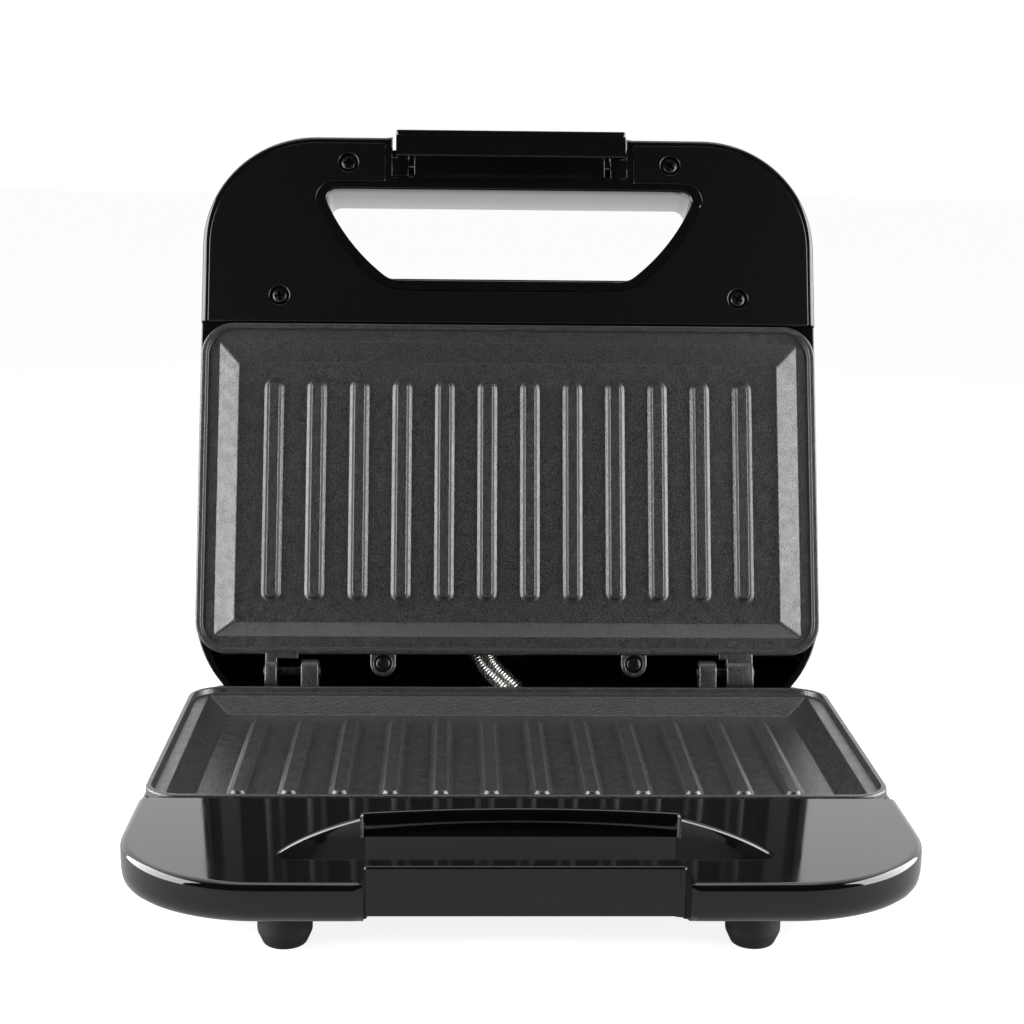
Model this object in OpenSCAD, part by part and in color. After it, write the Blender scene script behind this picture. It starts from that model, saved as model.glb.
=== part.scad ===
// Two-plate sandwich toaster with a hinged lid and a swing latch.
// Every piece is drawn in a plate frame: X to the right, Y to the rear, Z up, with zero at the middle of
// the plate's rear edge on the plane of its rim. The lid's pieces are drawn the same way, with their
// rim facing up, and are then turned over and swung open about the hinge.

/* [Housing] */
// Width of both housings
housing_w = 229; // [227:0.5:234]
// Reach of the housings in front of the plates' rear edge
housing_front = 195; // [193:0.5:200]
// Reach of the lid behind the plates' rear edge
lid_rear = 25; // [23:0.5:25.5]
// Gap between the lid's tail and the base's rear wall
tail_gap = 3.5; // [3:0.25:6]
// Corner radius of both housings, seen from above
corner_r = 42; // [36:1:46]
// Wall of the moulded housings
wall = 2.3; // [1.8:0.1:2.6]
// Depth of the base below the rim plane
base_depth = 31.5; // [31:0.5:36]
// Depth of the lid above its rim plane
lid_depth = 32; // [31:0.5:36]
// Thickness of the base's nose, under the handle
base_nose = 13; // [12:0.5:15]
// Thickness of the lid's handle
lid_nose = 26; // [22:0.5:28]
// Step from the rim plane down to the handles' flat tops
top_drop = 0.5; // [0.3:0.1:0.7]
// Thickness of the lid's inner cover
panel_t = 2; // [1.8:0.1:2.2]
// Wall of the base's bottom cover
cover_t = 2.5; // [2:0.1:2.8]

/* [Handle] */
// Radius of the half-moon cut-out
moon_r = 75; // [72:0.5:77]
// Distance of the cut-out's circle centre in front of the plates' rear edge
moon_y = 200.3; // [199:0.1:202]
// Front side of the cut-out, in front of the plates' rear edge
moon_front = 175.2; // [174.5:0.1:175.8]
// Ledge side of the cut-out, in front of the plates' rear edge
moon_ledge = 140.8; // [139:0.1:143]
// Set-back of the ledge's upper notch
notch_back = 6.3; // [5:0.1:7]
// Width of the ledge's upper notch
notch_w = 94; // [90:0.5:96]
// Depth of the ledge's upper notch
notch_d = 6.5; // [4:0.25:8]
// Width of the latch recess in both handles
recess_w = 88; // [86:0.5:94]
// Front of the base's handle in the recess, in front of the plates' rear edge
recess_front = 181.5; // [180.5:0.1:181.8]
// Underside of the base's handle in the recess, below the rim plane
recess_depth = 14.6; // [14:0.1:14.8]

/* [Plates] */
// How far the plates stay inside each side of the housing
plate_side = 0.5; // [0.5:0.1:2]
// Depth of a plate, front to rear
plate_d = 122.8; // [121:0.1:123]
// Corner radius of a plate
plate_r = 13; // [9:0.5:16]
// Thickness of the casting
plate_t = 3; // [2.5:0.1:3.2]
// Width of the flat rim
rim_w = 6.6; // [5.5:0.1:7.5]
// Width of the sloped flank
flank_w = 6.8; // [5:0.1:8]
// Depth of the floor below the rim
floor_d = 6; // [5:0.25:7]
// Number of ribs on each plate
rib_n = 12; // [8:1:13]
// Distance between ribs
rib_pitch = 15.88; // [14:0.01:15.9]
// Length of a rib
rib_len = 82; // [70:0.5:84]
// Width of a rib at the floor
rib_w = 7.4; // [6:0.1:8]
// Width of a rib's flat top
rib_top_w = 3.8; // [2.5:0.1:4.5]
// Height of a rib
rib_h = 3; // [2:0.1:4]
// Gap between the rims when the lid is shut
rim_gap = 0.5; // [0.4:0.05:0.7]

/* [Hinge] */
// Distance of the hinge axis behind the plates' rear edge
hinge_back = 6.2; // [6:0.1:6.5]
// Height of the hinge axis above the base's rim plane
hinge_rise = 3.6; // [3.4:0.05:3.8]
// Radius of a hinge pin
pin_r = 2; // [1.5:0.1:2.3]
// Radial running clearance on the pins
pin_clear = 0.05; // [0.02:0.01:0.09]
// Radius of a lug's round end
lug_r = 4.5; // [4:0.1:4.8]
// Opening angle of the lid at rest, from shut
open_angle = 108.3; // [106:0.1:108.5]

/* [Screws and feet] */
// Radius of a screw's shank
screw_r = 1.5; // [1.2:0.1:1.7]
// Radius of a screw's head
head_r = 2.9; // [2.5:0.1:3.1]
// Height of a screw's head
head_h = 1.4; // [1:0.1:1.6]
// Clearance round a screw's head in its recess
head_clear = 0.5; // [0.3:0.05:0.6]
// Radius of a foot at its top
foot_r = 8.2; // [6.5:0.1:8.5]
// Radius of a foot at the table
foot_tip_r = 5.2; // [4.5:0.1:6]
// Height of the rim plane above the table
rim_height = 40; // [38:0.5:44]

/* [Heating] */
// Radius of the tubular element
heater_r = 3.2; // [2.8:0.1:3.4]
// Half width of the element's loop
heater_x = 76; // [72:0.5:78]
// Front run of the element, in front of the plate's rear edge
heater_front = 96; // [92:0.5:98]
// Rear run of the element, in front of the plate's rear edge
heater_back = 24; // [22:0.5:28]
// Bend radius of the element
heater_bend = 16; // [12:0.5:20]
// Thickness of the reflector sheet
sheet_t = 0.8; // [0.5:0.1:1]
// Gap between the element and the reflector
heater_air = 2; // [1.5:0.1:2.4]

/* [Latch] */
// Gap between the latch and each side of its recess
latch_side = 1.8; // [1.5:0.1:2.5]
// Wall of the latch
latch_t = 2.5; // [2:0.1:2.8]
// Outer face of the latch, in front of the plates' rear edge
latch_front = 191.5; // [191:0.1:192]
// Reach of the latch past the lid's rim plane
latch_drop = 18.6; // [18.4:0.1:19.5]
// Height of the latch's cross plate
latch_plate_h = 12.4; // [10:0.1:13]
// Reach of the hook's lip
latch_lip = 7.2; // [6.8:0.1:7.3]
// Distance of the latch pivot in front of the plates' rear edge
pivot_front = 184.5; // [184:0.1:185]
// Depth of the latch pivot behind the lid's rim plane
pivot_depth = 8; // [7.5:0.1:9]
// Radius of the latch pin
latch_pin_r = 1.25; // [1:0.05:1.4]
// Clearance between the latch and the lid's handle
latch_clear = 0.4; // [0.3:0.05:0.6]

/* [Conduit] */
// Outer diameter of the spring conduit
conduit_d = 9; // [8:0.1:9.2]
// Diameter of its wire
wire_d = 0.7; // [0.6:0.05:0.75]
// Number of curls
curl_n = 28; // [24:1:29]
// Radius of a lead inside the conduit
lead_r = 0.9; // [0.6:0.05:1]

/* [Hidden] */

// Where the conduit stands in the base
conduit_x = 6;
conduit_low = -24;

$fn = 48;
gloss = "#141414";
matte = "#1c1c1c";
coat = "#3a3a3b";
steel = "#b9bcc0";
ceramic = "#e9e4d8";

half_w = housing_w / 2;
plate_w = housing_w - 2 * plate_side;
latch_w = recess_w - 2 * latch_side;
base_rear = lid_rear + tail_gap;
fit = 0.3;
skin = 0.01;
sink = 0.1;
nose_r = 7;
lean = open_angle - 90;

// Profiles of the housings, from the rim plane down: depth, side inset, rear edge, front edge
base_rings = [
    [top_drop, 2, base_rear - 2, 2 - housing_front],
    [top_drop + 0.6, 0.6, base_rear - 0.6, 0.6 - housing_front],
    [top_drop + 2, 0, base_rear, -housing_front],
    [base_nose - nose_r, 0, base_rear, -housing_front],
    [base_nose - nose_r * 0.5, 0, base_rear, nose_r * 0.134 - housing_front],
    [base_nose - nose_r * 0.134, 0, base_rear, nose_r * 0.5 - housing_front],
    [base_nose, 0, base_rear, nose_r - housing_front],
    [base_depth - 9, 0, base_rear, -163],
    [base_depth - 4.5, 0.6, base_rear - 0.5, -152],
    [base_depth - 1.5, 2.4, base_rear - 2.2, -145.5],
    [base_depth, 6, base_rear - 6, -139]
];
slope_top = 8;
function slope_rear(d) = lid_rear - max(0, d - slope_top) * lid_rear / (lid_depth - slope_top);
lid_rings = [
    [top_drop, 2, lid_rear - 2, 2 - housing_front],
    [top_drop + 0.6, 0.6, lid_rear - 0.6, 0.6 - housing_front],
    [top_drop + 2, 0, lid_rear, -housing_front],
    [slope_top, 0, lid_rear, -housing_front],
    [lid_nose - nose_r, 0, slope_rear(lid_nose - nose_r), -housing_front],
    [lid_nose - nose_r * 0.5, 0, slope_rear(lid_nose - nose_r * 0.5), nose_r * 0.134 - housing_front],
    [lid_nose - nose_r * 0.134, 0, slope_rear(lid_nose - nose_r * 0.134), nose_r * 0.5 - housing_front],
    [lid_nose, 0.4, slope_rear(lid_nose), nose_r - housing_front],
    [lid_depth - 3, 1.4, slope_rear(lid_depth - 3), -170],
    [lid_depth - 1, 3.4, slope_rear(lid_depth - 1), -158],
    [lid_depth, 6, 0, -150]
];
// The same profile drawn in by one wall, with its own thickness over the top
function inner(rings, w, top) = concat(
    [[rings[0][0] + top, w, rings[2][2] - w, rings[2][3] + w]],
    [for (i = [3:len(rings) - 1]) [rings[i][0] - w, rings[i][1] + w, rings[i][2] - w, rings[i][3] + w]]);

// One ring's points: four round corners, counter-clockwise from above
corner_n = 12;
function corner_pts(cx, cy, r, a, z) = [for (k = [0:corner_n])
    [cx + r * cos(a + 90 * k / corner_n), cy + r * sin(a + 90 * k / corner_n), z]];
function ring_pts(g) = let (r = corner_r - g[1], x = half_w - corner_r) concat(
    corner_pts(x, g[2] - r, r, 0, -g[0]), corner_pts(-x, g[2] - r, r, 90, -g[0]),
    corner_pts(-x, g[3] + r, r, 180, -g[0]), corner_pts(x, g[3] + r, r, 270, -g[0]));

// Solid through rings of points, from the top one down
module loft(rings) {
    n = len(rings[0]);
    m = len(rings);
    faces = [for (i = [0:m - 2]) for (k = [0:n - 1]) let (k2 = (k + 1) % n, a = i * n, b = a + n)
        each [[a + k, a + k2, b + k2], [a + k, b + k2, b + k]]];
    top = [for (k = [n - 1:-1:0]) k];
    bottom = [for (k = [0:n - 1]) (m - 1) * n + k];
    polyhedron([for (r = rings) each r], concat([top], faces, [bottom]), convexity = 6);
}
module form(rings) loft([for (g = rings) ring_pts(g)]);

// Places of the open lid's points: y and depth in the lid to y and z over the base
function open_y(y, d) = hinge_back - sin(lean) * (y - hinge_back) + cos(lean) * (d + rim_gap - hinge_rise);
function open_z(y, d) = hinge_rise - cos(lean) * (y - hinge_back) - sin(lean) * (d + rim_gap - hinge_rise);
mid_y = (max([for (g = lid_rings) open_y(g[3], g[0])]) - housing_front) / 2;
// The lid's rear slope rests just over the base's rear wall
slope_low = [open_y(lid_rear, slope_top), open_z(lid_rear, slope_top)];
slope_high = [open_y(0, lid_depth), open_z(0, lid_depth)];
slope_run = (slope_high[1] - slope_low[1]) / (slope_high[0] - slope_low[0]);
rear_wall_z = slope_low[1] + (base_rear - wall - slope_low[0]) * slope_run - fit;

tub_w = rim_w + flank_w;
rib_y = 60.5;
flange_gap = 0.4;
rim_seat = plate_t;

// Flat outline with round corners, drawn in by inset
module plan(inset, rear, front = -housing_front) {
    r = corner_r - inset;
    x = half_w - corner_r;
    for (sx = [-x, x], y = [rear - inset - r, front + inset + r]) translate([sx, y]) circle(r, $fn = 64);
    translate([-x - r, front + inset + r]) square([2 * (x + r), rear - front - 2 * (inset + r)]);
    translate([-x, front + inset]) square([2 * x, rear - front - 2 * inset]);
}

// Half-moon finger cut-out: grow widens it on all sides
module moon(grow = 0) {
    intersection() {
        translate([0, -moon_y]) circle(moon_r + grow, $fn = 128);
        translate([-moon_r - grow, -moon_front - grow])
            square([2 * (moon_r + grow), moon_front - moon_ledge + 2 * grow]);
    }
}
module moon_notch(grow = 0)
    translate([-notch_w / 2 - grow, -moon_ledge - 1])
        square([notch_w + 2 * grow, notch_back + 1 + grow]);

// Cut-out through a housing: wide at its notch, narrower below it
module cutout(grow = 0) {
    translate([0, 0, -60]) linear_extrude(70) moon(grow);
    translate([0, 0, -notch_d - grow]) linear_extrude(70) moon_notch(grow);
}

// Latch recess in the front of a handle
module recess_block(front, grow = 0)
    translate([-recess_w / 2 - grow, -housing_front - 10, -60])
        cube([recess_w + 2 * grow, housing_front + 10 - front + grow, 70]);

module plate_outline(grow = 0) {
    r = plate_r + grow;
    x = plate_w / 2 - plate_r;
    for (sx = [-x, x], y = [-plate_r, plate_r - plate_d]) translate([sx, y]) circle(r);
    translate([-x - r, plate_r - plate_d]) square([2 * (x + r), plate_d - 2 * plate_r]);
    translate([-x, -plate_d - grow]) square([2 * x, plate_d + 2 * grow]);
}

// Pocket of a plate, or the tub round it: a mitred frustum between two depths
function rect_pts(inset, z) = [[plate_w / 2 - inset, -plate_d + inset, z], [plate_w / 2 - inset, -inset, z],
    [-plate_w / 2 + inset, -inset, z], [-plate_w / 2 + inset, -plate_d + inset, z]];
module frustum(inset_top, z_top, inset_bottom, z_bottom)
    loft([rect_pts(inset_top, z_top), rect_pts(inset_bottom, z_bottom)]);

module rib() {
    run = rib_len - rib_w;
    rotate([90, 0, 0]) translate([0, 0, -run / 2]) linear_extrude(run)
        polygon([[-rib_w / 2, -skin], [rib_w / 2, -skin], [rib_top_w / 2, rib_h], [-rib_top_w / 2, rib_h]]);
    for (y = [-run / 2, run / 2]) translate([0, y, -skin])
        cylinder(h = rib_h + skin, r1 = rib_w / 2, r2 = rib_top_w / 2, $fn = 24);
}

// Cast plate: flat rim, sloped flanks, floor and ribs, with posts for the reflector under it
post_r = 4;
tub_bottom = floor_d + plate_t;
heater_z = -tub_bottom - heater_r;
sheet_z = heater_z - heater_r - heater_air;
reflector_posts = [for (x = [-46, 46], y = [-84, -40]) [x, y]];
module cast_plate() {
    difference() {
        union() {
            translate([0, 0, -plate_t]) linear_extrude(plate_t) plate_outline();
            frustum(rim_w - plate_t, skin - plate_t, tub_w - plate_t, -tub_bottom);
        }
        frustum(rim_w - flank_w / floor_d, 1, tub_w, -floor_d);
    }
    for (i = [0:rib_n - 1])
        translate([(i - (rib_n - 1) / 2) * rib_pitch, -rib_y, -floor_d]) rib();
}
module reflector_post_set()
    for (p = reflector_posts) translate([p[0], p[1], sheet_z])
        cylinder(h = -sheet_z - tub_bottom + 0.5, r = post_r);
module post_holes(points, z, h, r)
    for (p = points) translate([p[0], p[1], z]) cylinder(h = h, r = r, $fn = 24);

// Hinge lug: round end on the axis, web back to the plate's edge
module lug(x0, x1, rise, web) {
    translate([x0, 0, 0]) difference() {
        union() {
            translate([0, hinge_back, rise]) rotate([0, 90, 0]) cylinder(h = x1 - x0, r = lug_r);
            rotate([90, 0, 90]) linear_extrude(x1 - x0) polygon(web);
        }
        translate([-1, hinge_back, rise]) rotate([0, 90, 0])
            cylinder(h = x1 - x0 + 2, r = pin_r + pin_clear);
    }
}
function on_lug(a, rise) = [hinge_back + (lug_r - skin) * cos(a), rise + (lug_r - skin) * sin(a)];
lower_web = [[-1, -plate_t], [hinge_back - 2, -plate_t], on_lug(-60, hinge_rise),
    [hinge_back, hinge_rise + 2.4],
    on_lug(160, hinge_rise), [1.2, 0], [-1, 0]];
lid_rise = rim_gap - hinge_rise;
upper_web = [[-1, -plate_t], on_lug(215, lid_rise), [hinge_back, lid_rise + 2.4], on_lug(140, lid_rise),
    [1.4, 0], [-1, 0]];

// Where the lugs stand along the axis: left inner lug, left outer leg, right inner lug, right outer leg
lug_left = [-75.4, -69];
leg_left = [-88.4, -84];
lug_right = [69.4, 75.8];
leg_right = [79.5, 89.2];
tab_x = 45.7;
tab_y = 3.3;
tab_r = 4.7;
tab_t = 2.5;
boss_r = 7.2;
boss_step = 12;

post_x = half_w - 18.5;
plate_posts = [for (x = [-post_x, post_x], y = [-104, -18]) [x, y]];
cover_top = cover_t - base_depth;

module lower_plate() color(coat) {
    difference() {
        union() {
            cast_plate();
            reflector_post_set();
            for (p = plate_posts) translate([p[0], p[1], cover_top])
                cylinder(h = -cover_top - tub_bottom + 0.5, r = post_r + 0.5);
        }
        post_holes(reflector_posts, sheet_z - 1, 6, screw_r);
        post_holes(plate_posts, cover_top - 1, 9, screw_r);
    }
    lug(lug_left[0], lug_left[1], hinge_rise, lower_web);
    lug(lug_right[0], lug_right[1], hinge_rise, lower_web);
}

flange_left = [leg_left[0], lug_left[0] - 1];
flange_right = [lug_right[1] + 1, leg_right[1]];
tongue_x = [-60, 60];
tongue_w = 10;
tongue_t = 1.5;
tongue_top = -top_drop - panel_t - fit;
module upper_plate() color(coat) {
    difference() {
        union() {
            cast_plate();
            reflector_post_set();
        }
        post_holes(reflector_posts, sheet_z - 1, 6, screw_r);
    }
    for (side = [-1, 1]) difference() {
        translate([0, 0, -plate_t]) linear_extrude(tab_t) union() {
            translate([side * tab_x, tab_y]) circle(tab_r);
            translate([side * tab_x - tab_r, -1]) square([2 * tab_r, tab_y + 1]);
        }
        translate([side * tab_x, tab_y, -plate_t - 1]) cylinder(h = 9, r = screw_r + 0.2, $fn = 24);
        translate([side * tab_x, tab_y, tab_t - plate_t - head_h - sink])
            cylinder(h = 9, r = head_r + head_clear);
    }
    lug(leg_left[0], leg_left[1], lid_rise, upper_web);
    lug(leg_right[0], leg_right[1], lid_rise, upper_web);
    for (f = [flange_left, flange_right]) translate([f[0], -1, -plate_t])
        cube([f[1] - f[0], 2.6, plate_t]);
    for (x = tongue_x) translate([x - tongue_w / 2, -plate_d - 4.2, tongue_top - tongue_t]) {
        cube([tongue_w, 8, tongue_t]);
    }
}

// Cut for the plate's flange, and the wall in front of it inside the housing
module plate_cut() translate([-half_w - 1, -plate_d - flange_gap, -rim_seat])
    cube([housing_w + 2, plate_d + 60, 60]);
bulkhead_front = 126;
bulkhead_back = 120;
module bulkhead(low) translate([-half_w, -bulkhead_front, low])
    cube([housing_w, bulkhead_front - bulkhead_back, -low]);

cover_inset = 7.5;
front_screw_x = half_w - 26.5;
front_screws = [[-front_screw_x, -129], [front_screw_x, -129]];
rear_screw_x = half_w - 22.5;
rear_screws = [[-rear_screw_x, 8], [rear_screw_x, 8]];
cover_screws = concat(front_screws, rear_screws);
cover_cut_z = 2 - base_nose;
module cover_plan(grow = 0) difference() {
    plan(cover_inset - grow, base_rear - 1);
    moon(wall + fit - grow);
    translate([-recess_w / 2 - wall - fit + grow, -housing_front - 1])
        square([recess_w + 2 * (wall + fit - grow), housing_front + 1 - moon_front + wall]);
}
gland_x = 58;
gland_z = -18;
gland_r = 6;

module base_shell() color(gloss) {
    difference() {
        form(base_rings);
        difference() {
            form(inner(base_rings, wall, wall));
            cutout(wall);
            recess_block(moon_front - wall, wall);
            bulkhead(-60);
        }
        difference() {
            translate([0, 0, -60]) linear_extrude(60 + cover_cut_z) cover_plan(fit);
            intersection() {
                bulkhead(-60);
                translate([0, 0, cover_t + skin]) form(base_rings);
            }
        }
        cutout();
        recess_block(recess_front);
        translate([-recess_w / 2, -recess_front - 1, -60])
            cube([recess_w, recess_front - moon_front + 2, 60 - recess_depth]);
        plate_cut();
        // low rear wall, which the open lid leans over
        translate([-half_w, lid_rear - 12, rear_wall_z]) cube([housing_w, 60, 60]);
        translate([gland_x, base_rear - 12, gland_z]) rotate([-90, 0, 0]) cylinder(h = 30, r = gland_r);
    }
    base_bosses();
}

// Screw bosses for the bottom cover, each tied to the nearest wall
rear_boss_top = hinge_rise - lid_rear + hinge_back - 3;
module base_bosses() {
    for (p = front_screws) bored_boss(p, -top_drop - wall + skin);
    for (p = rear_screws) {
        bored_boss(p, rear_boss_top);
        x0 = abs(p[0]) + screw_r + 1;
        dy = p[1] + 1.2 - base_rear + corner_r;
        x1 = half_w - corner_r + sqrt(pow(corner_r - wall / 2, 2) - pow(dy, 2));
        translate([p[0] > 0 ? x0 : -x1, p[1] - 1.2, cover_top + 0.6])
            cube([x1 - x0, 2.4, rear_boss_top - cover_top - 0.6]);
    }
}
module bored_boss(p, top) difference() {
    translate([p[0], p[1], cover_top]) cylinder(h = top - cover_top, r = post_r);
    translate([p[0], p[1], cover_top - 1]) cylinder(h = 9, r = screw_r, $fn = 24);
}

bracket_screw = [conduit_x, -1];
all_cover_screws = concat(cover_screws, plate_posts, [bracket_screw]);
module base_cover() color(matte) difference() {
    intersection() {
        form(base_rings);
        translate([0, 0, -60]) linear_extrude(60 + cover_cut_z - 1) cover_plan();
    }
    translate([0, 0, cover_t]) form(base_rings);
    for (p = all_cover_screws) {
        translate([p[0], p[1], -60]) cylinder(h = 60, r = screw_r + 0.2, $fn = 24);
        translate([p[0], p[1], -base_depth - 1]) cylinder(h = 1 + head_h + sink, r = head_r + head_clear);
    }
}

// Cross-head screw: head up at the origin, shank down
module screw(len) {
    difference() {
        translate([0, 0, -head_h]) cylinder(h = head_h, r = head_r, $fn = 32);
        for (a = [0, 90]) rotate(a) translate([-head_r * 0.6, -0.4, -head_h * 0.6])
            cube([head_r * 1.2, 0.8, 4]);
    }
    translate([0, 0, -len]) cylinder(h = len - head_h + skin, r = screw_r - 0.1, $fn = 24);
}
screw_len = 9;
module screws_up(points, z, len) for (p = points)
    translate([p[0], p[1], z]) rotate([180, 0, 0]) screw(len);

module base_cover_screws() color(steel) {
    screws_up(cover_screws, sink - base_depth, screw_len);
    screws_up([bracket_screw], sink - base_depth, 5);
}
module lower_plate_screws() color(steel) screws_up(plate_posts, sink - base_depth, screw_len);

// Feet: tapered, with a round shoulder, face to face with the cover
foot_x = half_w - 45;
foot_front = 139;
foot_back = -8;
module foot(x, y, extra = 0) color(matte) translate([x, y, -rim_height]) {
    cylinder(h = 1.2, r1 = foot_tip_r - 0.8, r2 = foot_tip_r);
    translate([0, 0, 1.2]) cylinder(h = 3.4, r1 = foot_tip_r, r2 = foot_r);
    translate([0, 0, 4.6]) cylinder(h = rim_height - base_depth - 4.6 + extra, r = foot_r);
}
// The front feet reach up to the cover where it starts to rise
module front_foot(x) color(matte) difference() {
    foot(x, -foot_front, 6);
    form(base_rings);
}

// Tubular element: rounded loop, open at its rear, with cold ends and ceramic collars
heater_gap = 30;
module element() color("#8a8077") translate([0, 0, heater_z - skin]) {
    w = heater_x - heater_bend;
    run = heater_front - heater_back - 2 * heater_bend;
    for (s = [-1, 1]) {
        translate([s * heater_x, -heater_front + heater_bend, 0]) rotate([-90, 0, 0])
            cylinder(h = run, r = heater_r);
        translate([s * w, -heater_front + heater_bend, 0]) rotate(s > 0 ? -90 : 180)
            rotate_extrude(angle = 90) translate([heater_bend, 0]) circle(heater_r, $fn = 24);
        translate([s * w, -heater_back - heater_bend, 0]) rotate(s > 0 ? 0 : 90)
            rotate_extrude(angle = 90) translate([heater_bend, 0]) circle(heater_r, $fn = 24);
        translate([s * heater_gap, -heater_back, 0]) rotate([0, s * 90, 0])
            cylinder(h = w - heater_gap, r = heater_r);
        translate([s * heater_gap, -heater_back, 0]) rotate([0, -s * 90, 0]) {
            cylinder(h = 4, r = heater_r * 0.8);
            cylinder(h = 12, r = 1);
        }
    }
    translate([-w, -heater_front, 0]) rotate([0, 90, 0]) cylinder(h = 2 * w, r = heater_r);
}

// Saddle clamps: they press the element up against the plate and are held by the reflector
saddle_t = 1;
module saddle(x, y, turn) translate([x, y, heater_z]) rotate(turn) rotate([90, 0, 0])
    translate([0, 0, -4]) linear_extrude(8) {
        difference() {
            union() {
                circle(heater_r + fit / 2 + saddle_t);
                translate([-heater_r - fit / 2 - saddle_t, 0])
                    square([2 * (heater_r + fit / 2 + saddle_t), heater_r]);
            }
            circle(heater_r + fit / 2);
            translate([-heater_r - fit / 2, 0]) square([2 * heater_r + fit, 20]);
        }
        arm = heater_r + fit / 2 + saddle_t - skin;
        for (s = [-1, 1]) translate([s > 0 ? arm : -arm - 5,
            heater_r - saddle_t]) square([5, saddle_t]);
    }
module clamp_set() color(steel) {
    saddle(0, -heater_front, 90);
    for (s = [-1, 1]) saddle(s * heater_x, -(heater_front + heater_back) / 2, 0);
}

// Reflector: shallow sheet tray under the element
tray_x = 87;
tray_front = 112;
tray_back = 18;
tray_lip = 3;
module reflector() color("#a9adb0") translate([0, 0, sheet_z - sheet_t]) difference() {
    translate([-tray_x, -tray_front, 0]) cube([2 * tray_x, tray_front - tray_back, sheet_t + tray_lip]);
    translate([-tray_x + sheet_t, -tray_front + sheet_t, sheet_t])
        cube([2 * (tray_x - sheet_t), tray_front - tray_back - 2 * sheet_t, tray_lip + 1]);
    post_holes(reflector_posts, -1, 3, screw_r + 0.2);
    translate([0, thermostat_y, -1]) cylinder(h = 3, r = thermostat_r + 2);
}
module reflector_screws() color(steel) screws_up(reflector_posts, sheet_z - sheet_t - head_h, 7);

// Disc thermostat: cap against the plate, flange, two tab terminals
thermostat_y = -60.5;
thermostat_r = 8;
thermostat_h = 8;
module thermostat() color("#d8d2c4") translate([0, thermostat_y, -tub_bottom - thermostat_h - skin]) {
    cylinder(h = thermostat_h, r = thermostat_r);
    translate([0, 0, thermostat_h - 1.5]) cylinder(h = 1.4, r = thermostat_r + 1);
    for (s = [-1, 1]) translate([s * 4 - 0.4, -2.5, -6]) cube([0.8, 5, 6 + skin]);
}

module lower_heater() element();
module lower_heater_clamps() clamp_set();
module lower_reflector() reflector();
module lower_reflector_screws() reflector_screws();
module lower_thermostat() thermostat();

// Terminal block on the cover, behind the plate
block_x = 20;
block_l = 30;
block_y = 14;
block_w = 11;
block_h = 8;
module terminal_block() color(ceramic) difference() {
    translate([block_x, block_y - block_w / 2, cover_top]) cube([block_l, block_w, block_h]);
    for (i = [0:2]) translate([block_x + block_l * (i + 0.5) / 3, block_y, cover_top + 2])
        cylinder(h = block_h, r = 2.4, $fn = 24);
}

// Inlet bush of the mains lead, in the rear wall
lead_bore_r = 3.3;
gland_out = 4;
gland_in = 3;
bush_clear = 0.15;
lip_gap = 0.9; // the wall curves in below the bush
module cord_gland() color(matte) difference() {
    translate([gland_x, 0, gland_z]) rotate([-90, 0, 0]) union() {
        translate([0, 0, base_rear]) cylinder(h = gland_out, r = gland_r + 1.6);
        translate([0, 0, base_rear - wall - gland_in])
            cylinder(h = gland_in + wall + fit, r = gland_r - bush_clear);
        translate([0, 0, base_rear - wall - gland_in]) cylinder(h = gland_in - lip_gap, r = gland_r + 1.2);
    }
    translate([gland_x, base_rear - wall - gland_in - 1, gland_z]) rotate([-90, 0, 0])
        cylinder(h = 20, r = lead_bore_r);
}

// Insulated wire: a smooth run through a few points
function bend(a, b, c, d, t) = 0.5 * (2 * b + (c - a) * t + (2 * a - 5 * b + 4 * c - d) * t * t
    + (3 * b - a - 3 * c + d) * t * t * t);
function smooth(p, m) = let (n = len(p)) concat([for (i = [0:n - 2]) for (k = [0:m - 1])
    bend(p[max(i - 1, 0)], p[i], p[i + 1], p[min(i + 2, n - 1)], k / m)], [p[n - 1]]);
module wire(points) tube(smooth(points, 4), lead_r, 6);
tab_z = -tub_bottom - thermostat_h - 4.5;
lead_gap = 0.12;
tag_x = 4.4 + lead_gap;
pin_end = heater_gap - 12 - lead_gap;
module base_leads() color("#c9c4b8") {
    x0 = conduit_a[0];
    y0 = conduit_a[1];
    z0 = base_end[2] - bracket_t;
    ty = thermostat_y;
    py = -heater_back;
    by = block_y - block_w / 2;
    // conduit to block
    wire([[x0 + lead_offset, y0, z0], [x0 + 2, y0, z0 - 1], [block_x - 4, y0 + 1, -27.4],
        [block_x - lead_gap, y0 + 1, -27.4]]);
    wire([[x0 - lead_offset, y0, z0], [x0 - 1, y0, z0 - 1.2], [x0 + 3, y0 + 4.2, -27.4],
        [block_x - 4, y0 + 5, -27.4], [block_x - lead_gap, y0 + 5, -27.4]]);
    // block to element
    wire([[block_x + 5, by - lead_gap, -25], [block_x + 4.8, by - 4, -25],
        [23, -6, -24.8], [18, -14.4, -20], [13.5, -15.2, -14], [12.6, -21, -12.4],
        [14.6, py, heater_z], [pin_end, py, heater_z]]);
    // block to thermostat, and thermostat to element
    wire([[block_x + 15, by - lead_gap, -25], [block_x + 15, by - 4, -25],
        [34, -20, -25], [12, -50, -24.5], [7.5, ty, tab_z],
        [5.6, ty, tab_z], [tag_x, ty, tab_z]]);
    wire([[-tag_x, ty, tab_z], [-5.6, ty, tab_z], [-7.5, ty, tab_z],
        [-14, -30, -22.5], [-14.5, -15.6, -20], [-13.5, -15.2, -14],
        [-12.6, -21, -12.4], [-14.6, py, heater_z], [-pin_end, py, heater_z]]);
}
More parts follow.
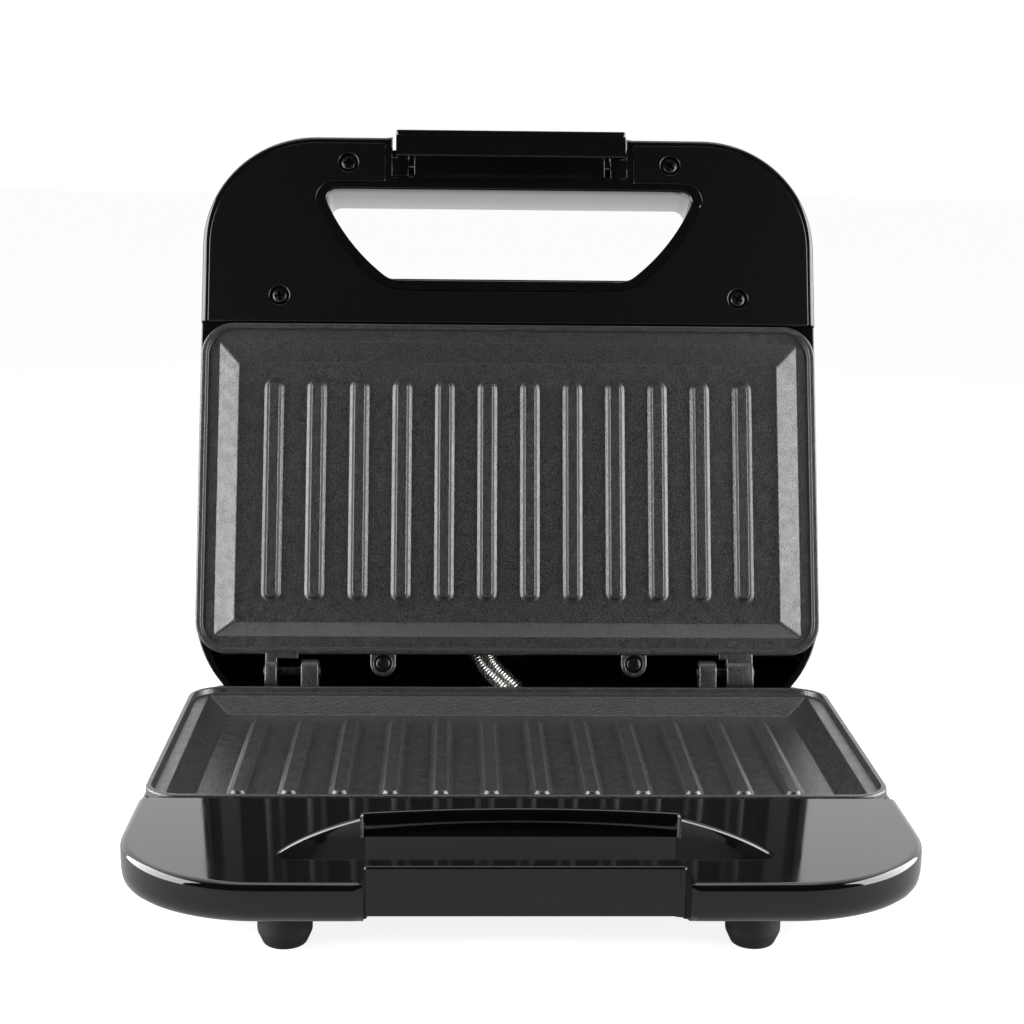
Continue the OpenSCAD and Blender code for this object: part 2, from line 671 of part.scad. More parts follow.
module lid_leads() color("#c9c4b8") {
    x0 = conduit_end[0];
    y0 = conduit_end[1] - bracket_t;
    z0 = conduit_end[2];
    ty = thermostat_y;
    py = -heater_back;
    wire([[x0 - lead_offset, y0, z0], [x0 - lead_offset, y0 - 2, z0], [-12.6, -21, -12.4],
        [-14.6, py, heater_z], [-pin_end, py, heater_z]]);
    wire([[x0 + lead_offset, y0, z0], [x0 + lead_offset, y0 - 1.3, z0 - 1.4], [-9, y0 - 1.5, -20],
        [-8.5, -22, -22], [-8, -52, -22], [-7.2, ty, tab_z], [-5.6, ty, tab_z], [-tag_x, ty, tab_z]]);
    wire([[tag_x, ty, tab_z], [5.6, ty, tab_z], [7.5, ty, tab_z],
        [13, -30, -22.5], [14.5, -16.4, -20], [13.5, -16.2, -14],
        [12.6, -21, -12.4], [14.6, py, heater_z], [pin_end, py, heater_z]]);
}

// Conduit: a smooth run across the hinge, straight at both ends
conduit_a = [conduit_x, 9.5, conduit_low + conduit_d];
// Its upper end, in the lid
conduit_l = [-9.5, conduit_d - 13.6, -14];
// How far the curve follows each end's direction
base_reach = 13;
lid_reach = 12;
conduit_end = conduit_l - [0, conduit_d, 0];
lid_up = [0, sin(lean), cos(lean)];
conduit_b = [conduit_l[0], open_y(conduit_l[1], -conduit_l[2]), open_z(conduit_l[1], -conduit_l[2])];
conduit_p = [conduit_a, conduit_a + [0, 0, base_reach], conduit_b - lid_reach * lid_up, conduit_b];
function bez(t) = pow(1 - t, 3) * conduit_p[0] + 3 * t * pow(1 - t, 2) * conduit_p[1]
    + 3 * t * t * (1 - t) * conduit_p[2] + pow(t, 3) * conduit_p[3];
function bez_d(t) = 3 * pow(1 - t, 2) * (conduit_p[1] - conduit_p[0])
    + 6 * t * (1 - t) * (conduit_p[2] - conduit_p[1]) + 3 * t * t * (conduit_p[3] - conduit_p[2]);
function unit(v) = v / norm(v);
// Route: straight end, curve, straight end
end_len = conduit_d;
curve_n = 60;
function curve_len(i) = i == 0 ? 0 : curve_len(i - 1) + norm(bez(i / curve_n) - bez((i - 1) / curve_n));
curve_total = curve_len(curve_n);
curve_table = [for (i = [0:curve_n]) [curve_len(i), i / curve_n]];
function curve_t(s) = lookup(s - end_len, curve_table);
route_total = curve_total + 2 * end_len;
function route(s) = s < end_len ? conduit_a - [0, 0, end_len - s]
    : s > end_len + curve_total ? conduit_b + (s - end_len - curve_total) * lid_up
    : bez(curve_t(s));
function route_d(s) = s < end_len ? [0, 0, 1] : s > end_len + curve_total ? lid_up
    : unit(bez_d(curve_t(s)));
function side_a(d) = unit(cross(d, [0, 1, 0]));
function side_b(d) = cross(d, side_a(d));
function offset_at(s, a, r) = let (d = route_d(s)) route(s) + r * (cos(a) * side_a(d) + sin(a) * side_b(d));

// A tube through a list of points, with flat ends
module tube(points, r, sides) {
    n = len(points);
    function dir(i) = unit(points[min(i + 1, n - 1)] - points[max(i - 1, 0)]);
    ring = [for (i = [0:n - 1]) let (d = dir(i), u = unit(cross(d, [0.31, 0.83, 0.47])), v = cross(d, u))
        for (k = [0:sides - 1]) points[i] + r * (cos(360 * k / sides) * u + sin(360 * k / sides) * v)];
    sides_f = [for (i = [0:n - 2]) for (k = [0:sides - 1]) let (k2 = (k + 1) % sides)
        let (a = i * sides, b = a + sides)
        each [[a + k, b + k2, a + k2], [a + k, b + k, b + k2]]];
    last = (n - 1) * sides;
    caps = [for (k = [1:sides - 2]) each [[0, k, k + 1], [last, last + k + 1, last + k]]];
    polyhedron(ring, concat(sides_f, caps), convexity = 10);
}
rings_per_curl = 8;
coil_r = (conduit_d - wire_d) / 2;
coil_steps = curl_n * rings_per_curl;
coil_points = [for (i = [0:coil_steps]) let (s = wire_d + (route_total - 2 * wire_d) * i / coil_steps)
    offset_at(s, 360 * i / rings_per_curl, coil_r)];
// Least distance between turns, measured on the points one curl apart and their neighbours
coil_gap = min([for (i = [0:coil_steps - rings_per_curl - 1]) for (k = [-1:1])
    norm(coil_points[i] - coil_points[min(i + rings_per_curl + k, coil_steps)])]) - wire_d;
echo(coil_gap = coil_gap, route_total = route_total);
module spring_conduit() color(steel) tube(coil_points, wire_d / 2, 6);

lead_offset = 1.2;
lead_steps = 24;
module conduit_leads() color("#8f8a80") for (a = [0, 180])
    tube([for (i = [0:lead_steps]) offset_at(route_total * i / lead_steps, a, lead_offset)], lead_r, 8);

// Brackets that hold the conduit's ends
bracket_t = 1.5;
bracket_w = 14;
base_end = conduit_a - [0, 0, conduit_d];
module base_conduit_bracket() color(steel) difference() {
    x = base_end[0] - bracket_w / 2;
    union() {
        translate([x, base_end[1] - 6, base_end[2] - bracket_t]) cube([bracket_w, 12, bracket_t]);
        translate([x, base_end[1] - 6, cover_top]) cube([bracket_w, bracket_t, base_end[2] - cover_top]);
        translate([x, base_end[1] - 15, cover_top]) cube([bracket_w, 9 + bracket_t, bracket_t]);
    }
    translate(base_end - [0, 0, 5]) cylinder(h = 10, r = lead_offset + lead_r + fit, $fn = 24);
    translate([bracket_screw[0], bracket_screw[1], cover_top - 1]) cylinder(h = 4, r = screw_r, $fn = 24);
}
module lid_conduit_bracket() color(steel) difference() {
    x = conduit_end[0] - bracket_w / 2;
    y = conduit_end[1] - bracket_t;
    low = wall - lid_depth;
    union() {
        translate([x, y, low]) cube([bracket_w, bracket_t, conduit_end[2] + conduit_d / 2 + 0.3 - low]);
        translate([x, y, low]) cube([bracket_w, 9, bracket_t]);
    }
    translate([conduit_end[0], y - 1, conduit_end[2]]) rotate([-90, 0, 0])
        cylinder(h = 4, r = lead_offset + lead_r + fit, $fn = 24);
}

module hinge_pin(x0, x1) color(steel) translate([x0 - 0.6, hinge_back, hinge_rise]) rotate([0, 90, 0])
    cylinder(h = x1 - x0 + 1.2, r = pin_r);
module hinge_pin_left() hinge_pin(leg_left[0], lug_left[1]);
module hinge_pin_right() hinge_pin(lug_right[0], leg_right[1]);

// ---- the lid, drawn rim up ----
panel_inset = 2.4;
lid_screws = [[-60.6, -184.8], [60.6, -184.8], [-85.6, -133.5], [85.6, -133.5]];
bar_front = latch_front - latch_t - latch_clear;
pocket_w = 8;
pocket_back = 179.5;
pocket_depth = 17;
slot_clear = 1.2;
slot_drift = 2.5;
slot_front = 12;
slot_depth = 16;
centre_w = 90;
lens_r = 3.5;
lens_x = 16;
lens_y = -112;
ledge = 1.5;
lid_skin = panel_t + 1.7;
lid_boss_r = 3.5;

// The middle is open through the handle's front; the pockets of the latch's arms have a floor
module lid_recess(grow = 0) {
    mid = recess_w / 2 - pocket_w;
    translate([-mid - grow, -housing_front - 10, -60])
        cube([2 * (mid + grow), housing_front + 10 - bar_front + grow, 70]);
    for (s = [-1, 1]) translate([s > 0 ? mid - grow : -recess_w / 2 - grow,
            -housing_front - 10, -pocket_depth - grow])
        cube([pocket_w + 2 * grow, housing_front + 10 - pocket_back + grow, 70]);
}
// Slot in the sloped rear wall, through which the conduit comes up from the base
module conduit_slot()
    translate([conduit_x - conduit_d / 2 - slot_clear - slot_drift, slot_front, -slot_depth])
    cube([conduit_d + 2 * slot_clear + slot_drift, 60, 60]);
module lid_bosses() for (p = lid_screws) translate([p[0], p[1], -60]) cylinder(h = 60, r = lid_boss_r);

module tab_bosses() for (s = [-1, 1]) translate([s * tab_x, tab_y, 0]) {
    translate([0, 0, -60]) cylinder(h = 60 - boss_step, r = boss_r);
    translate([0, 0, -boss_step - 1]) cylinder(h = boss_step + 1 - plate_t, r = tab_r - 0.6);
}

module lid_shell() color(gloss) {
    difference() {
        form(lid_rings);
        difference() {
            form(inner(lid_rings, wall, lid_skin));
            cutout(wall);
            lid_recess(wall);
            lid_bosses();
            tab_bosses();
            bulkhead(-60);
        }
        cutout();
        lid_recess();
        plate_cut();
        conduit_slot();
        for (x = tongue_x)
            translate([x - tongue_w / 2 - fit, -bulkhead_front - 1, tongue_top - tongue_t - fit])
            cube([tongue_w + 2 * fit, 20, 20]);
        difference() {
            translate([0, 0, -top_drop - lid_skin - 0.1]) linear_extrude(20) intersection() {
                plan(wall - 0.2, lid_rear);
                translate([-half_w, -bulkhead_back]) square([housing_w, 200]);
            }
            tab_bosses();
        }
        // seat of the inner cover
        translate([0, 0, -top_drop - panel_t]) linear_extrude(40) panel_shape(fit);
        difference() {
            translate([0, 0, -top_drop - lid_skin - 0.1]) linear_extrude(40) panel_shape(-ledge);
            lid_bosses();
        }
        for (p = concat(lid_screws, [[-tab_x, tab_y], [tab_x, tab_y]]))
            translate([p[0], p[1], -screw_len - 4]) cylinder(h = 40, r = screw_r, $fn = 24);
        for (s = [-1, 1]) translate([s * lens_x, lens_y, -lid_depth - 1]) cylinder(h = 20, r = lens_r + 0.1);
        translate([-60, -pivot_front, -pivot_depth]) rotate([0, 90, 0])
            cylinder(h = 120, r = latch_pin_r + pin_clear, $fn = 24);
    }
}

module panel_shape(grow = 0) difference() {
    intersection() {
        plan(panel_inset - grow, lid_rear);
        translate([-half_w, -housing_front])
            square([housing_w, housing_front - plate_d - flange_gap - fit + grow]);
    }
    moon(wall + fit - grow);
    moon_notch(wall + fit - grow);
    translate([-centre_w / 2 + grow, -housing_front - 1])
        square([centre_w - 2 * grow, housing_front + 1 - moon_front]);
    translate([-recess_w / 2 - wall - fit + grow, -housing_front - 1])
        square([recess_w + 2 * (wall + fit - grow), housing_front + 1 - pocket_back + wall + fit - grow]);
}
module lid_inner_cover() color(matte) translate([0, 0, -top_drop - panel_t]) difference() {
    linear_extrude(panel_t) panel_shape();
    for (p = lid_screws) translate([p[0], p[1], -1]) {
        cylinder(h = 9, r = screw_r + 0.2, $fn = 24);
        translate([0, 0, 1 + panel_t - head_h - sink]) cylinder(h = 9, r = head_r + head_clear);
    }
}
module lid_cover_screws() color(steel) for (p = lid_screws)
    translate([p[0], p[1], -top_drop - sink]) screw(screw_len);
module upper_plate_screws() color(steel) for (s = [-1, 1])
    translate([s * tab_x, tab_y, tab_t - plate_t - sink]) screw(screw_len);
module upper_heater() element();
module upper_heater_clamps() clamp_set();
module upper_reflector() reflector();
module upper_reflector_screws() reflector_screws();
module upper_thermostat() thermostat();

lamp_r = 3;
module lens(s, c) color(c) translate([s * lens_x, lens_y, 0]) {
    translate([0, 0, -lid_depth - 0.8]) cylinder(h = 0.8, r = lens_r + 1);
    translate([0, 0, -lid_depth - skin]) cylinder(h = wall + 1, r = lens_r);
}
module power_lens() lens(-1, "#c03020");
module ready_lens() lens(1, "#2f8f3a");
module indicator_lamps() color("#e8d8c0") for (s = [-1, 1])
    translate([s * lens_x, lens_y, -lid_depth + wall + 1 - skin]) cylinder(h = 5, r = lamp_r);

// Latch: two arms with ears on the pin, a cross plate and a hook lip
ear_w = 4.2;
arm_low = 1;
ear_r = 3.2;
arm_w = 10;
module latch() color(gloss) {
    back = latch_front - latch_t;
    difference() {
        union() {
            translate([-latch_w / 2, -latch_front, latch_drop - latch_plate_h])
                cube([latch_w, latch_t, latch_plate_h]);
            translate([-latch_w / 2, -back - skin, latch_drop - 2.4]) cube([latch_w, latch_lip, 2.4]);
            for (s = [-1, 1]) {
                translate([s > 0 ? latch_w / 2 - arm_w : -latch_w / 2, -latch_front, arm_low])
                    cube([arm_w, latch_t, latch_drop - arm_low - 1]);
                translate([s > 0 ? latch_w / 2 - ear_w : -latch_w / 2, -latch_front, -pivot_depth - 4])
                    cube([ear_w, latch_t, latch_drop + pivot_depth]);
                translate([s > 0 ? latch_w / 2 - ear_w : -latch_w / 2, -back - skin, -pivot_depth - ear_r])
                    cube([ear_w, back - pivot_front, 2 * ear_r]);
                translate([s > 0 ? latch_w / 2 - ear_w : -latch_w / 2, -pivot_front, -pivot_depth])
                    rotate([0, 90, 0]) cylinder(h = ear_w, r = ear_r);
            }
        }
        translate([-60, -pivot_front, -pivot_depth]) rotate([0, 90, 0])
            cylinder(h = 120, r = latch_pin_r + pin_clear, $fn = 24);
    }
}
module latch_pin() color(steel)
    translate([-recess_w / 2 - wall, -pivot_front, -pivot_depth]) rotate([0, 90, 0])
    cylinder(h = recess_w + 2 * wall, r = latch_pin_r, $fn = 24);

// ---- placing ----
module on_base() translate([0, -mid_y, rim_height]) children();
module on_lid() on_base() translate([0, hinge_back, hinge_rise]) rotate([-open_angle, 0, 0])
    translate([0, -hinge_back, -hinge_rise + rim_gap]) mirror([0, 0, 1]) children();

on_base() base_shell();
on_base() base_cover();
on_base() base_cover_screws();
on_base() front_foot(-foot_x);  // foot_front_left
on_base() front_foot(foot_x);  // foot_front_right
on_base() foot(-foot_x, -foot_back);  // foot_rear_left
on_base() foot(foot_x, -foot_back);  // foot_rear_right
on_base() lower_plate();
on_base() lower_plate_screws();
on_base() lower_heater();
on_base() lower_heater_clamps();
on_base() lower_reflector();
on_base() lower_reflector_screws();
on_base() lower_thermostat();
on_base() terminal_block();
on_base() cord_gland();
on_base() base_leads();
on_base() base_conduit_bracket();
on_base() hinge_pin_left();
on_base() hinge_pin_right();
on_base() spring_conduit();
on_base() conduit_leads();
on_lid() lid_shell();
on_lid() lid_inner_cover();
on_lid() lid_cover_screws();
on_lid() upper_plate();
on_lid() upper_plate_screws();
on_lid() upper_heater();
on_lid() upper_heater_clamps();
on_lid() upper_reflector();
on_lid() upper_reflector_screws();
on_lid() upper_thermostat();
on_lid() lid_leads();
on_lid() lid_conduit_bracket();
on_lid() power_lens();
on_lid() ready_lens();
on_lid() indicator_lamps();
on_lid() latch();
on_lid() latch_pin();
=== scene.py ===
# %% [markdown]
# # A two-slice sandwich toaster, standing open
#
# The solids come from the CAD model. This lesson dresses them: glossy moulded housings, cast non-stick
# plates, a wound steel conduit across the hinge, and the small steel pieces that hold it all together.
# Sizes are in millimetres until the last moment, in one of two frames. The base's frame has its zero at
# the middle of the plate's rear edge, on the plane of the plate's rim. The lid has the same frame of its
# own, drawn rim up, so both halves can share one set of recipes.

import math
import bpy
import bmesh
import numpy as np
from mathutils import Matrix, Vector
from mathutils.geometry import delaunay_2d_cdt


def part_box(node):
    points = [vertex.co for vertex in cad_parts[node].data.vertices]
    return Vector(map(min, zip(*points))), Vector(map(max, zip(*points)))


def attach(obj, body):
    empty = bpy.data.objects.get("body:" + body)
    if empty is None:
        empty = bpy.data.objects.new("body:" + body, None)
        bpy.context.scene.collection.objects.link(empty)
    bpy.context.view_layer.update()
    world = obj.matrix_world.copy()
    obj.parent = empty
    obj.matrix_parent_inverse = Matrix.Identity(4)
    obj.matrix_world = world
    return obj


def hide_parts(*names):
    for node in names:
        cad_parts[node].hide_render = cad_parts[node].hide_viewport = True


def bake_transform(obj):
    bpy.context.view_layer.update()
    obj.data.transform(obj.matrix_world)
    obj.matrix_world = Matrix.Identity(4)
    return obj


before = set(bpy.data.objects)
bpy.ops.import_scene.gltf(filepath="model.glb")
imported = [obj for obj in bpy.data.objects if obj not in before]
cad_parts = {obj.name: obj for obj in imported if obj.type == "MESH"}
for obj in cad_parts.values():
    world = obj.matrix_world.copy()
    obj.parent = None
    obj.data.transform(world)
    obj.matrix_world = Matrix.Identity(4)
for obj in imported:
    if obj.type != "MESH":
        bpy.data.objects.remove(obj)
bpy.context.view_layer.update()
print("CAD nodes:", len(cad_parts))


def placed(name, data):
    """A new object in the scene."""
    ob = bpy.data.objects.new(name, data)
    bpy.context.scene.collection.objects.link(ob)
    return ob


def mesh_of(name, verts, edges, faces):
    me = bpy.data.meshes.new(name)
    me.from_pydata([Vector(v) for v in verts], edges, faces)
    return me


# %% [markdown]
# ## Where things stand
#
# The base's frame sits 40 mm over the table. The lid's frame is turned over and swung back about the
# hinge by 108.3 degrees, so one matrix carries every piece of the lid from its own frame to its place.

# %% Frames of the base and the lid
MM = 0.001
HINGE_BACK, HINGE_RISE, RIM_GAP, OPEN = 6.2, 3.6, 0.5, 108.3
MID_Y, RIM_Z = 52.936, 40.0
base_place = Matrix.Scale(MM, 4) @ Matrix.Translation((0, MID_Y, RIM_Z))
lid_place = (base_place @ Matrix.Translation((0, HINGE_BACK, HINGE_RISE))
             @ Matrix.Rotation(math.radians(-OPEN), 4, "X")
             @ Matrix.Translation((0, -HINGE_BACK, RIM_GAP - HINGE_RISE))
             @ Matrix.Diagonal((1, 1, -1, 1)))
print("lid's rim edge stands at", [round(v, 4) for v in lid_place @ Vector((0, 0, 0))])

# %% [markdown]
# ## Camera
#
# The camera was worked out from the straight rims of the two plates: both are the same size and share one
# hinge, so their eight corners fix the lens, the height and the tilt. It looks down by 10.6 degrees
# through a lens of about 70 mm, a little left of the middle.

# %% Camera
yaw, pitch, roll = (math.radians(a) for a in (1.68, 10.56, 0.63))
ahead = Vector((math.sin(yaw) * math.cos(pitch), math.cos(yaw) * math.cos(pitch), -math.sin(pitch)))
right = Vector((math.cos(yaw), -math.sin(yaw), 0))
up = right.cross(ahead)
right, up = right * math.cos(roll) + up * math.sin(roll), up * math.cos(roll) - right * math.sin(roll)
SENSOR, FOCAL_PIXELS, PICTURE_PIXELS = 36, 2000.9, 1024
LEFT, BEFORE, ABOVE = 20.1, 700.8, 195.0
camera = placed("camera", bpy.data.cameras.new("camera"))
camera.matrix_world = Matrix((
    (right.x, up.x, -ahead.x, -LEFT * MM), (right.y, up.y, -ahead.y, (MID_Y - BEFORE) * MM),
    (right.z, up.z, -ahead.z, (RIM_Z + ABOVE) * MM), (0, 0, 0, 1)))
camera.data.sensor_width = SENSOR
camera.data.lens = SENSOR * FOCAL_PIXELS / PICTURE_PIXELS
bpy.context.scene.camera = camera
print("lens", round(camera.data.lens, 2), "mm")

# %% [markdown]
# ## Mesh helpers
#
# A moulded housing is a stack of outlines. Each outline is a closed path of straight runs and round
# corners, always with the same number of points, so two outlines can be joined by a strip of faces.
# Flat or gently curved areas with holes in them are filled by a triangulation that keeps the edges.


# %% Paths with round corners
def round_path(corners):
    """Closed path through (x, y, radius, steps) corners; a corner gives steps + 1 points."""
    pts = []
    n = len(corners)
    for i, (x, y, r, steps) in enumerate(corners):
        p = np.array((x, y), float)
        if steps == 0:
            pts.append(p)
            continue
        a = np.array(corners[i - 1][:2], float) - p
        b = np.array(corners[(i + 1) % n][:2], float) - p
        la, lb = np.linalg.norm(a), np.linalg.norm(b)
        a, b = a / max(la, 1e-9), b / max(lb, 1e-9)
        mid = a + b
        if np.linalg.norm(mid) < 1e-4 or r <= 0:
            pts += [p] * (steps + 1)
            continue
        half = math.acos(max(-1, min(1, float(a @ b)))) / 2
        reach = min(r / math.tan(half), 0.98 * min(la, lb))
        r2 = reach * math.tan(half)
        centre = p + mid / np.linalg.norm(mid) * (r2 / math.sin(half))
        s, e = p + a * reach - centre, p + b * reach - centre
        turn = math.atan2(s[0] * e[1] - s[1] * e[0], float(s @ e))
        for k in range(steps + 1):
            c, d = math.cos(turn * k / steps), math.sin(turn * k / steps)
            pts.append(centre + (s[0] * c - s[1] * d, s[0] * d + s[1] * c))
    return np.array(pts)


def grown(path, off):
    """The same closed path moved sideways by off, outwards where it runs counter-clockwise."""
    fwd, back = np.roll(path, -1, 0) - path, path - np.roll(path, 1, 0)
    normal = lambda v: np.stack((v[:, 1], -v[:, 0]), 1) / np.maximum(np.linalg.norm(v, axis=1), 1e-9)[:, None]
    a, b = normal(fwd), normal(back)
    a = np.where(np.linalg.norm(fwd, axis=1)[:, None] < 1e-6, b, a)
    b = np.where(np.linalg.norm(back, axis=1)[:, None] < 1e-6, a, b)
    m = a + b
    return path + off * 2 * m / np.maximum((m * m).sum(1), 0.8)[:, None]


def inside(path, pts):
    """Which points lie in a closed path."""
    x, y = pts[:, 0], pts[:, 1]
    hit = np.zeros(len(pts), bool)
    for (x0, y0), (x1, y1) in zip(path, np.roll(path, -1, 0)):
        if y0 == y1:
            continue
        hit ^= ((y0 > y) != (y1 > y)) & (x < (x1 - x0) * (y - y0) / (y1 - y0) + x0)
    return hit


# %% A slot cut out of a wall
def cut_slot(bm, low, high):
    """Removes the part of a wall that lies between two corners of a box."""
    slack = 1e-4

    def reaches(f):
        return all(min(v.co[k] for v in f.verts) < high[k] + slack
                   and max(v.co[k] for v in f.verts) > low[k] - slack for k in range(3))

    for axis in range(3):
        normal = Vector([float(k == axis) for k in range(3)])
        for edge in (low, high):
            near = [f for f in bm.faces if reaches(f)]
            parts = list({x for f in near for x in (*f.verts, *f.edges)}) + near
            bmesh.ops.bisect_plane(bm, geom=parts, plane_co=normal * edge[axis], plane_no=normal, dist=slack)
    within = lambda p: all(low[k] - slack < p[k] < high[k] + slack for k in range(3))
    bmesh.ops.delete(bm, geom=[f for f in bm.faces if within(f.calc_center_median())], context="FACES")


# %% A mesh put together from loops
class Shell:
    """Collects vertices and faces in millimetres, then becomes one object."""

    def __init__(self):
        self.verts, self.faces = [], []

    def loop(self, path, z):
        z = np.broadcast_to(z, (len(path),))
        start = len(self.verts)
        self.verts += [(p[0], p[1], h) for p, h in zip(path, z)]
        return list(range(start, start + len(path)))

    def bridge(self, low, high, closed=True, keep=None):
        n = len(low)
        for k in range(n if closed else n - 1):
            j = (k + 1) % n
            if keep is None or keep[k]:
                self.faces.append((low[k], low[j], high[j], high[k]))

    def stack(self, rows, closed=True):
        loops = [self.loop(p, z) for p, z in rows]
        for low, high in zip(loops, loops[1:]):
            self.bridge(low, high, closed)

    def fill(self, outer, holes, z, step=0, face_up=True):
        """Fills the area between a path and its holes; z is a number or a function of points."""
        height = z if callable(z) else (lambda p: np.full(len(p), float(z)))
        pts = [outer] + list(holes)
        edges, start = [], 0
        for p in pts:
            edges += [(start + k, start + (k + 1) % len(p)) for k in range(len(p))]
            start += len(p)
        pts = np.concatenate(pts)
        if step:
            x = np.arange(outer[:, 0].min() + step / 2, outer[:, 0].max(), step)
            y = np.arange(outer[:, 1].min() + step / 2, outer[:, 1].max(), step)
            grid = np.array([(a, b) for a in x for b in y])
            ok = inside(grown(outer, -step * 0.4), grid)
            for h in holes:
                ok &= ~inside(grown(h, step * 0.4), grid)
            pts = np.concatenate((pts, grid[ok]))
        out, _, tris, *_ = delaunay_2d_cdt([Vector(p) for p in pts], edges, [], 0, 1e-4)
        out = np.array([tuple(p) for p in out])
        mid = np.array([out[list(t)].mean(0) for t in tris])
        keep = inside(outer, mid)
        for h in holes:
            keep &= ~inside(h, mid)
        start = len(self.verts)
        self.verts += [(p[0], p[1], h) for p, h in zip(out, height(out))]
        for t, k in zip(tris, keep):
            if k:
                a, b, c = (start + i for i in t)
                u, v = out[t[1]] - out[t[0]], out[t[2]] - out[t[0]]
                if (u[0] * v[1] - u[1] * v[0] > 0) != face_up:
                    b, c = c, b
                self.faces.append((a, b, c))

    def build(self, name, place, smooth=32, merge=0.004, slot=None):
        me = mesh_of(name, self.verts, [], self.faces)
        bm = bmesh.new()
        bm.from_mesh(me)
        bmesh.ops.remove_doubles(bm, verts=bm.verts, dist=merge)
        bmesh.ops.dissolve_degenerate(bm, dist=merge / 2, edges=bm.edges)
        if slot:
            cut_slot(bm, *slot)
        bm.transform(place)
        if place.determinant() < 0:
            bmesh.ops.reverse_faces(bm, faces=bm.faces)
        for f in bm.faces:
            f.smooth = True
        for e in bm.edges:
            e.smooth = len(e.link_faces) != 2 or e.calc_face_angle(0) < math.radians(smooth)
        bm.to_mesh(me)
        bm.free()
        print(name, len(me.polygons), "faces")
        return placed(name, me)


# %% Circles, rounded edges, mirrored halves and slabs
def circle(x, y, r, n=32):
    angles = [2 * math.pi * k / n for k in range(n)]
    return np.array([(x + r * math.cos(a), y + r * math.sin(a)) for a in angles])


TOP = -0.5  # height of both handles, half a millimetre under the rim plane


def rounding(r, near=TOP, degrees=(0, 30, 60, 90)):
    """(inset, height) pairs over a rounded edge."""
    return [(r * (1 - math.sin(a)), near - r * (1 - math.cos(a))) for a in map(math.radians, degrees)]


def both_sides(corners):
    """The corners of one half, then the same corners mirrored and backwards."""
    return corners + [(-x, y, r, n) for x, y, r, n in corners[::-1]]


def box_path(x0, x1, y0, y1):
    return lambda s: np.array([(x0 + s, y0 + s), (x1 - s, y0 + s), (x1 - s, y1 - s), (x0 + s, y1 - s)])


def add_to(shell, verts, faces):
    start = len(shell.verts)
    shell.verts += verts
    shell.faces += [tuple(start + k for k in f) for f in faces]


def slab(shell, path_at, near, far, r, turn=None, holes=()):
    """A plate between two heights with rounded edges; path_at gives its outline for an inset."""
    part = Shell()
    edge = rounding(r, 0)
    rows = [(path_at(s), far + z) for s, z in edge] + [(path_at(s), near - z) for s, z in edge[::-1]]
    part.stack(rows)
    part.fill(rows[0][0], holes, far)
    part.fill(rows[-1][0], holes, near, face_up=False)
    for h in holes:
        part.stack([(h, near), (h, far)])
    verts = part.verts if turn is None else [tuple(turn @ Vector(v)) for v in part.verts]
    add_to(shell, verts, part.faces)


def paint(ob, material):
    ob.data.materials.clear()
    ob.data.materials.append(material)


def dress(ob, body, material, cad_node):
    """Finish, body and CAD node of a new piece."""
    paint(ob, material)
    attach(ob, body)
    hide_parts(cad_node)


# %% [markdown]
# ## Materials
#
# One helper turns sRGB hex values to linear colour, one adds a node. Every material starts from the real
# stuff: its colour, its refraction, its gloss and the size of its grain.


# %% Colour and node helpers
def lin(hex_code, alpha=1):
    channel = [int(hex_code[i:i + 2], 16) / 255 for i in (1, 3, 5)]
    return tuple(c / 12.92 if c <= 0.04045 else ((c + 0.055) / 1.055) ** 2.4 for c in channel) + (alpha,)


def node(tree, kind, values=None, links=None, **settings):
    """Adds one node; values and links are keyed by input name or number."""
    n = tree.nodes.new(kind)
    for key, value in settings.items():
        setattr(n, key, value)
    for key, value in (values or {}).items():
        n.inputs[key].default_value = value
    for key, source in (links or {}).items():
        tree.links.new(source, n.inputs[key])
    return n


def mottle(t, place, shader, scale, low, high):
    """Noise of one grain size that moves the roughness between two values."""
    noise = node(t, "ShaderNodeTexNoise", {"Scale": scale, "Detail": 3.0}, {"Vector": place})
    spread = node(t, "ShaderNodeMapRange", {"From Min": 0.3, "From Max": 0.7, "To Min": low, "To Max": high},
                  {"Value": noise.outputs["Fac"]})
    t.links.new(spread.outputs[0], shader.inputs["Roughness"])


def relief(t, place, shader, scale, height, cells=False):
    """Bump of one grain size, its height in metres: soft noise, or round cells."""
    if cells:
        grain = node(t, "ShaderNodeTexVoronoi", {"Scale": scale}, {"Vector": place}).outputs["Distance"]
    else:
        noise = node(t, "ShaderNodeTexNoise", {"Scale": scale, "Detail": 2.0}, {"Vector": place})
        grain = noise.outputs["Fac"]
    bump = node(t, "ShaderNodeBump", {"Strength": 1.0, "Distance": height}, {"Height": grain})
    t.links.new(bump.outputs[0], shader.inputs["Normal"])


def finish_of(name, colour, gloss=None, bump=None, **sockets):
    """A Principled material; gloss and bump are what mottle and relief need after the shader."""
    m = bpy.data.materials.new(name)
    m.use_nodes = True
    t = m.node_tree
    t.nodes.clear()
    out = node(t, "ShaderNodeOutputMaterial")
    shader = node(t, "ShaderNodeBsdfPrincipled", {"Base Color": lin(colour), **sockets})
    t.links.new(shader.outputs[0], out.inputs[0])
    place = node(t, "ShaderNodeTexCoord").outputs["Object"]
    if gloss:
        mottle(t, place, shader, *gloss)
    if bump:
        relief(t, place, shader, *bump)
    return m


# %% [markdown]
# ### Housing plastic
#
# Polished ABS, moulded black: almost no colour of its own, all its life is in clean reflections. A very
# weak waviness, a few centimetres wide, is what tells moulded plastic from lacquered metal.

# %% Gloss ABS
gloss_abs = finish_of("gloss_black_abs", "#060607", (55, 0.035, 0.075), (28, 0.00002),
                      Roughness=0.05, IOR=1.52)

